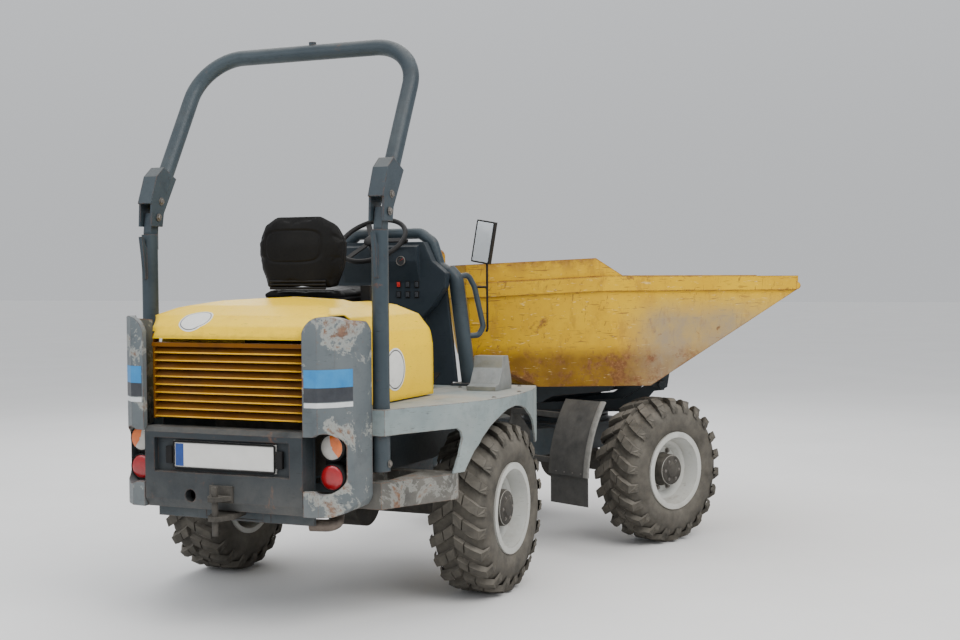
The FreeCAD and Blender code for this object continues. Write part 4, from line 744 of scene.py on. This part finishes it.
# ------------------------------------------------------------------ grille edges: lips in a brighter copy of the grille yellow, painted highlight on the slats' lit front edges
for k in range(9):
    z = 0.938 + 0.036 * k
    tube("slat_lip_%d" % k, [(0.0185, y, z + 0.003) for y in (-0.389, -0.2, 0.0, 0.2, 0.389)], 0.0036, "slat_edge_lit", "rear_unit", seg=10)

# ------------------------------------------------------------------ wheels: hubs and nuts
for tag, M, ax, unit in (("rear", REAR, 1.145, "rear"), ("front", FRONT, AXLE_F, "front")):
    for s, side in ((1, "left"), (-1, "right")):
        body = "%s_wheel_%s" % (tag, side)
        c = M @ Vector((ax, s * 0.758, 0.419))
        d = (M.to_3x3() @ Vector((0, s, 0))).normalized()
        lathe("hub_cap_%s_%s" % (tag, side), c, d, [(0.031, 0.098), (0.034, 0.0945), (0.044, 0.0925), (0.090, 0.0905), (0.100, 0.0885), (0.1065, 0.082), (0.1095, 0.070), (0.1095, 0.046), (0.1165, 0.043), (0.1175, 0.036), (0.1175, 0.0)], "cast_dark", body, 48)
        u, w, n = basis(d)
        pl = []
        for k in range(8):
            a = 2 * math.pi * (k + 0.5) / 8
            pl.append((c + n * 0.030 + (u * math.cos(a) + w * math.sin(a)) * 0.113, n))
        bolts("wheel_nuts_%s_%s" % (tag, side), pl, "nut_steel", body, 0.0115, 0.016)
        pl = [(c + n * 0.109 + (u * math.cos(a) + w * math.sin(a)) * 0.058, n) for a in [2 * math.pi * k / 6 for k in range(6)]]
        bolts("hub_bolts_%s_%s" % (tag, side), pl, "nut_steel", body, 0.0065, 0.006)

# ------------------------------------------------------------------ hinge pins, post and deck bolts
pl = []
for s in (-1, 1):
    for e in (-1, 1):
        pl.append((REAR @ Vector((0.318, s * 0.620 + e * 0.0425, 1.853)), Vector((0, e, 0))))
        pl.append((REAR @ Vector((0.345, s * 0.620 + e * 0.0385, 1.930)), Vector((0, e, 0))))
bolts("hoop_bolts", pl, "nut_steel", "hoop", 0.013, 0.010)
pl = [(REAR @ Vector((0.300, s * 0.659, 0.735)), Vector((0, s, 0))) for s in (-1, 1)]
bolts("post_bolts", pl, "nut_steel", "rear_unit", 0.012, 0.009)
pl = [(REAR @ Vector((x, s * y, 0.978)), Vector((0, 0, 1))) for s in (-1, 1) for x, y in ((0.42, 0.475), (0.75, 0.475), (1.10, 0.475), (1.45, 0.475), (1.62, 0.60), (1.62, 0.74), (0.98, 0.87), (1.30, 0.87))]
bolts("deck_bolts", pl, "nut_steel", "rear_unit", 0.0085, 0.006)

# ------------------------------------------------------------------ mudguard edge strips and bolts
for s, side in ((1, "left"), (-1, "right")):
    verts, faces = [], []
    sec = [(0.7505, 0.868), (0.7545, 0.872), (0.7545, 0.903), (0.7500, 0.9065), (0.7425, 0.9065), (0.7415, 0.902)]
    m = 40
    for i in range(m + 1):
        a = math.radians(144.0 + 33.5 * i / m)
        for rr, y in sec:
            verts.append(FRONT @ Vector((AXLE_F + rr * math.cos(a), s * y, 0.419 + rr * math.sin(a))))
    q = len(sec)
    for i in range(m):
        for j in range(q):
            jj = (j + 1) % q
            faces.append((i * q + j, i * q + jj, (i + 1) * q + jj, (i + 1) * q + j))
    world_mesh("guard_edge_" + side, verts, faces, "pale_edge", "front_unit")
    pl = []
    for k in range(4):
        pl.append((FRONT @ Vector((0.4027, s * (0.66 + 0.19 * k / 3), 0.468)), FRONT.to_3x3() @ Vector((-1, 0, 0))))
    bolts("flap_bolts_" + side, [(p + d * 0.001, d) for p, d in pl], "nut_steel", "front_unit", 0.0075, 0.006)

# ------------------------------------------------------------------ mirror glass
mr = Matrix.Translation(REAR @ Vector((1.655, -0.529, 1.740))) @ Matrix.Rotation(math.radians(10), 4, "X")
rounded_box("mirror_face", (-0.0195, -0.046, -0.106), (-0.0165, 0.046, 0.106), "mirror_glass", "rear_unit", 0.0013, mr)
pts = []
for a, b in (((-0.049, -0.110), (0.049, -0.110)), ((0.049, -0.110), (0.049, 0.110)), ((0.049, 0.110), (-0.049, 0.110)), ((-0.049, 0.110), (-0.049, -0.110))):
    for k in range(10):
        t = 0.04 + 0.92 * k / 9
        pts.append((-0.018, a[0] + (b[0] - a[0]) * t, a[1] + (b[1] - a[1]) * t))
tube("mirror_rim", pts, 0.004, "black_plastic", "rear_unit", mr, 8, True)

# ------------------------------------------------------------------ dash: gauges, switches, levers
cons = tree("console")


def dash(px, py):
    hit, n = at_pixel(px, py, cons)
    return hit, n


for k, (px, py, r) in enumerate(((401, 261, 0.026),)):
    hit, n = dash(px, py)
    if hit is not None:
        lathe("gauge_rim_%d" % k, hit, n, [(-0.002, r), (0.008, r), (0.010, r * 0.93), (0.008, r * 0.86), (0.006, r * 0.85)], "nut_steel", "rear_unit", 40)
        lathe("gauge_face_%d" % k, hit, n, [(0.0055, r * 0.87), (0.006, r * 0.5), (0.006, 0.0)], "gauge_dark", "rear_unit", 40)
        u, w, q = basis(n)
        tube("gauge_needle_%d" % k, [hit + q * 0.0075 - u * r * 0.15, hit + q * 0.0075 + (u * 0.6 + w * 0.45) * r], 0.0009, "red_plastic", "rear_unit", Matrix.Identity(4), 6)
mm = 0
for row in range(2):
    for col in range(3):
        px, py = 399 + 9 * col, 284.5 + 10 * row
        hit, n = dash(px, py)
        if hit is None:
            continue
        u, w, q = basis(n)
        m4 = Matrix((u, w, q)).transposed().to_4x4()
        m4.translation = hit
        rounded_box("switch_body_%d" % mm, (-0.013, -0.018, -0.002), (0.013, 0.018, 0.005), "black_plastic", "rear_unit", 0.002, m4)
        rounded_box("switch_rocker_%d" % mm, (-0.009, -0.013, 0.004), (0.009, 0.013, 0.009), "red_plastic" if (row, col) == (0, 0) else "strip_dark", "rear_unit", 0.002, m4)
        mm += 1
tube("signal_lever", [(1.452, -0.040, 1.690), (1.430, -0.100, 1.705), (1.415, -0.150, 1.722), (1.405, -0.178, 1.738)], 0.0055, "black_plastic", "rear_unit")
lathe("signal_knob", REAR @ Vector((1.405, -0.178, 1.738)), Vector((-0.30, -0.80, 0.50)), [(-0.004, 0.0), (-0.003, 0.007), (0.004, 0.011), (0.016, 0.0115), (0.026, 0.009), (0.030, 0.0)], "black_plastic", "rear_unit", 24)
tube("column_boot", [(1.470, 0, 1.640), (1.462, 0, 1.652), (1.450, 0, 1.668)], 0.044, "black_plastic", "rear_unit", seg=28)
sw = REAR @ Vector((1.385, 0, 1.752))
sd = Vector((-math.sin(math.radians(38)), 0, math.cos(math.radians(38))))
lathe("wheel_cap", sw, sd, [(-0.004, 0.0), (-0.004, 0.046), (0.004, 0.047), (0.010, 0.043), (0.014, 0.030), (0.0155, 0.0)], "black_plastic", "steering_wheel", 36)


# ------------------------------------------------------------------ seat
def settle(o):
    dg = bpy.context.evaluated_depsgraph_get()
    ev = o.evaluated_get(dg)
    new = bpy.data.meshes.new_from_object(ev)
    o.modifiers.clear()
    o.data = new


def soft_pad(name, node, shrink, cap, grooves, press=4.0, form=None):
    src = NODES[node]
    me = src.data.copy()
    o = bpy.data.objects.new(name, me)
    bpy.context.scene.collection.objects.link(o)
    lo = Vector([min(v.co[i] for v in me.vertices) for i in range(3)])
    hi = Vector([max(v.co[i] for v in me.vertices) for i in range(3)])
    c = (lo + hi) / 2
    k = [1 - shrink / (hi[i] - lo[i]) for i in range(3)]
    for v in me.vertices:
        v.co = Vector([c[i] + (v.co[i] - c[i]) * k[i] for i in range(3)])
    m = o.modifiers.new("remesh", "REMESH")
    m.mode = "VOXEL"
    m.voxel_size = 0.006
    if form:
        settle(o)
        inv = REAR.inverted()
        for v in o.data.vertices:
            v.co = REAR @ form(inv @ v.co)
    m = o.modifiers.new("smooth", "SMOOTH")
    m.iterations = 16
    m.factor = 0.5
    settle(o)
    base = [v.co.copy() for v in o.data.vertices]
    cl = o.modifiers.new("cloth", "CLOTH")
    st = cl.settings
    st.quality = 5
    st.use_pressure = True
    st.uniform_pressure_force = press
    st.effector_weights.gravity = 0
    cl.point_cache.frame_start = 1
    cl.point_cache.frame_end = 20
    for f in range(1, 21):
        bpy.context.scene.frame_set(f)
    settle(o)
    bpy.context.scene.frame_set(1)
    for v, b in zip(o.data.vertices, base):
        d = v.co - b
        if d.length > cap:
            v.co = b + d * (cap / d.length)
    m = o.modifiers.new("sub", "SUBSURF")
    m.levels = 1
    m.render_levels = 1
    settle(o)
    inv = REAR.inverted()
    new = []
    for v in o.data.vertices:
        g = grooves(inv @ v.co)
        new.append(v.co - v.normal * g)
    for v, q in zip(o.data.vertices, new):
        # stay inside the piece's own space
        v.co = Vector([min(max(q[i], lo[i] - 0.008), hi[i] + 0.008) for i in range(3)])
    for q in o.data.polygons:
        q.use_smooth = True
    o.data.materials.clear()
    o.data.materials.append(MATS["seat_cover"])
    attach(o, "rear_unit")
    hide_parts(node)
    return o


def bell(d, w):
    return math.exp(-(d / w) ** 2)


def cushion_grooves(p):
    g = 0.0
    if p.z > 1.470:
        if 0.735 < p.x < 1.125:
            g = max(g, 0.0055 * bell(abs(p.y - 0.022) - 0.158, 0.007))
        if abs(p.y - 0.022) < 0.160:
            for x in (0.735, 0.835, 0.935, 1.035, 1.125):
                g = max(g, (0.0055 if x in (0.735, 1.125) else 0.0042) * bell(p.x - x, 0.007))
    # the seam round the side
    g = max(g, 0.004 * bell(p.z - (1.470 + (p.x - 0.94) * 0.03), 0.005) if abs(p.y - 0.022) > 0.19 or p.x > 1.13 or p.x < 0.73 else 0.0)
    return g


def back_grooves(p):
    # the inset panel behind: a rounded outline
    g = 0.0
    if p.x < 0.70:
        qx, qz = abs(p.y - 0.045) / 0.158, (p.z - 1.712) / 0.076
        e = (qx ** 4 + abs(qz) ** 4) ** 0.25
        g = 0.0055 * bell((e - 1.0) * 0.10, 0.007)
        if e < 1.0:
            g = max(g, 0.0022)
    else:
        # sewn channels in front
        if abs(p.y - 0.022) < 0.165 and 1.55 < p.z < 1.80:
            for z in (1.60, 1.66, 1.72, 1.78):
                g = max(g, 0.0045 * bell(p.z - z, 0.008))
        if 1.54 < p.z < 1.81:
            g = max(g, 0.0055 * bell(abs(p.y - 0.022) - 0.165, 0.007))
    # the seam round the edge
    if abs(p.y - 0.022) > 0.19 or p.z > 1.83:
        g = max(g, 0.0042 * bell(p.x - 0.706, 0.005))
    return g


soft_pad("seat_cushion_pad", "seat_cushion", 0.016, 0.012, cushion_grooves)


def back_form(p):
    t = (p.x - 0.640) / 0.110
    yl = p.y - 0.022
    y = yl / 0.25
    x = p.x + 0.052 * abs(y) ** 2.6 * (1 - t)
    top = max(0.0, (p.z - 1.72) / 0.15)
    z = p.z - 0.050 * top * t ** 2 - 0.022 * top * abs(y) ** 3
    waist = max(0.0, (1.64 - p.z) / 0.14)
    # the outline rounded: the corners of the octagon are pushed out to an even curve
    if p.z > 1.66:
        rr = math.hypot(yl / 0.25, (p.z - 1.66) / 0.216)
        k = 1.0 if rr < 0.5 else 1.0 + 0.035 * math.sin(math.pi * min(1.0, (rr - 0.5) / 0.9)) * (1.0 if abs(y) < 0.93 else 0.3)
        yl *= k
    return Vector((x + 0.018 * top * (1 - t), 0.022 + yl * (1 - 0.10 * waist), z))


soft_pad("seat_back_pad", "seat_back", 0.016, 0.012, back_grooves, form=back_form)
# ribs low on the back of the seat, and the slide rails under the cushion
y1, zr = on_x(270, 285, 0.640)
y0, _ = on_x(325, 285, 0.640)
for k in (-1, 0, 1):
    tube("seat_rib_%d" % (k + 1), [(0.6425, y0 + (y1 - y0) * t, zr - 0.0165 * k) for t in (0, 0.1, 0.3, 0.5, 0.7, 0.9, 1)], 0.0062, "black_plastic", "rear_unit", seg=14)
for s in (-1, 1):
    rounded_box("seat_slide_" + ("left" if s > 0 else "right"), (0.72, 0.022 + s * 0.190 - 0.016, 1.4005), (1.14, 0.022 + s * 0.190 + 0.016, 1.4040), "black_plastic", "rear_unit", 0.0015)


# ------------------------------------------------------------------ stage and light
def stage():
    me = bpy.data.meshes.new("floor")
    me.from_pydata([(-60, -60, -0.001), (60, -60, -0.001), (60, 60, -0.001), (-60, 60, -0.001)], [], [(0, 1, 2, 3)])
    f = bpy.data.objects.new("floor", me)
    bpy.context.scene.collection.objects.link(f)
    n = N("floor_mat")
    c = n.mix(n.range(n.noise(0.8, 6, 0.6), 0.35, 0.65), (0.80, 0.795, 0.785), (0.83, 0.825, 0.815))
    f.data.materials.append(n.finish(c, 0.75))
    w = bpy.data.worlds.new("world")
    bpy.context.scene.world = w
    w.use_nodes = True
    bg = w.node_tree.nodes["Background"]
    bg.inputs[0].default_value = (0.90, 0.92, 0.95, 1)
    # a little darker at the horizon, where it meets the floor
    t = w.node_tree
    co = t.nodes.new("ShaderNodeTexCoord")
    sep = t.nodes.new("ShaderNodeSeparateXYZ")
    mr = t.nodes.new("ShaderNodeMapRange")
    mr.interpolation_type = "SMOOTHSTEP"
    for k, v in ((1, 0.0), (2, 0.40), (3, 0.70), (4, 0.92)):
        mr.inputs[k].default_value = v
    t.links.new(co.outputs["Generated"], sep.inputs[0])
    t.links.new(sep.outputs["Z"], mr.inputs[0])
    t.links.new(mr.outputs[0], bg.inputs[1])

    def area(name, loc, target, size, power, col=(1, 1, 1)):
        l = bpy.data.lights.new(name, "AREA")
        l.shape = "RECTANGLE"
        l.size, l.size_y = size
        l.energy = power
        l.color = col
        o = bpy.data.objects.new(name, l)
        bpy.context.scene.collection.objects.link(o)
        o.location = loc
        o.rotation_euler = (Vector(target) - Vector(loc)).to_track_quat("-Z", "Y").to_euler()

    c = Vector((0.0, 0.2, 0.8))
    area("key", c + Vector((-3.5, -5.5, 6.0)), c, (6, 5), 520, (1.0, 0.98, 0.95))
    area("fill", c + Vector((-7.0, 2.5, 3.5)), c, (6, 4), 150, (0.92, 0.96, 1.0))
    area("top", c + Vector((1.0, 1.0, 7.5)), c, (8, 8), 300)
    area("back", c + Vector((6.0, 3.5, 4.5)), c, (5, 4), 180)


stage()
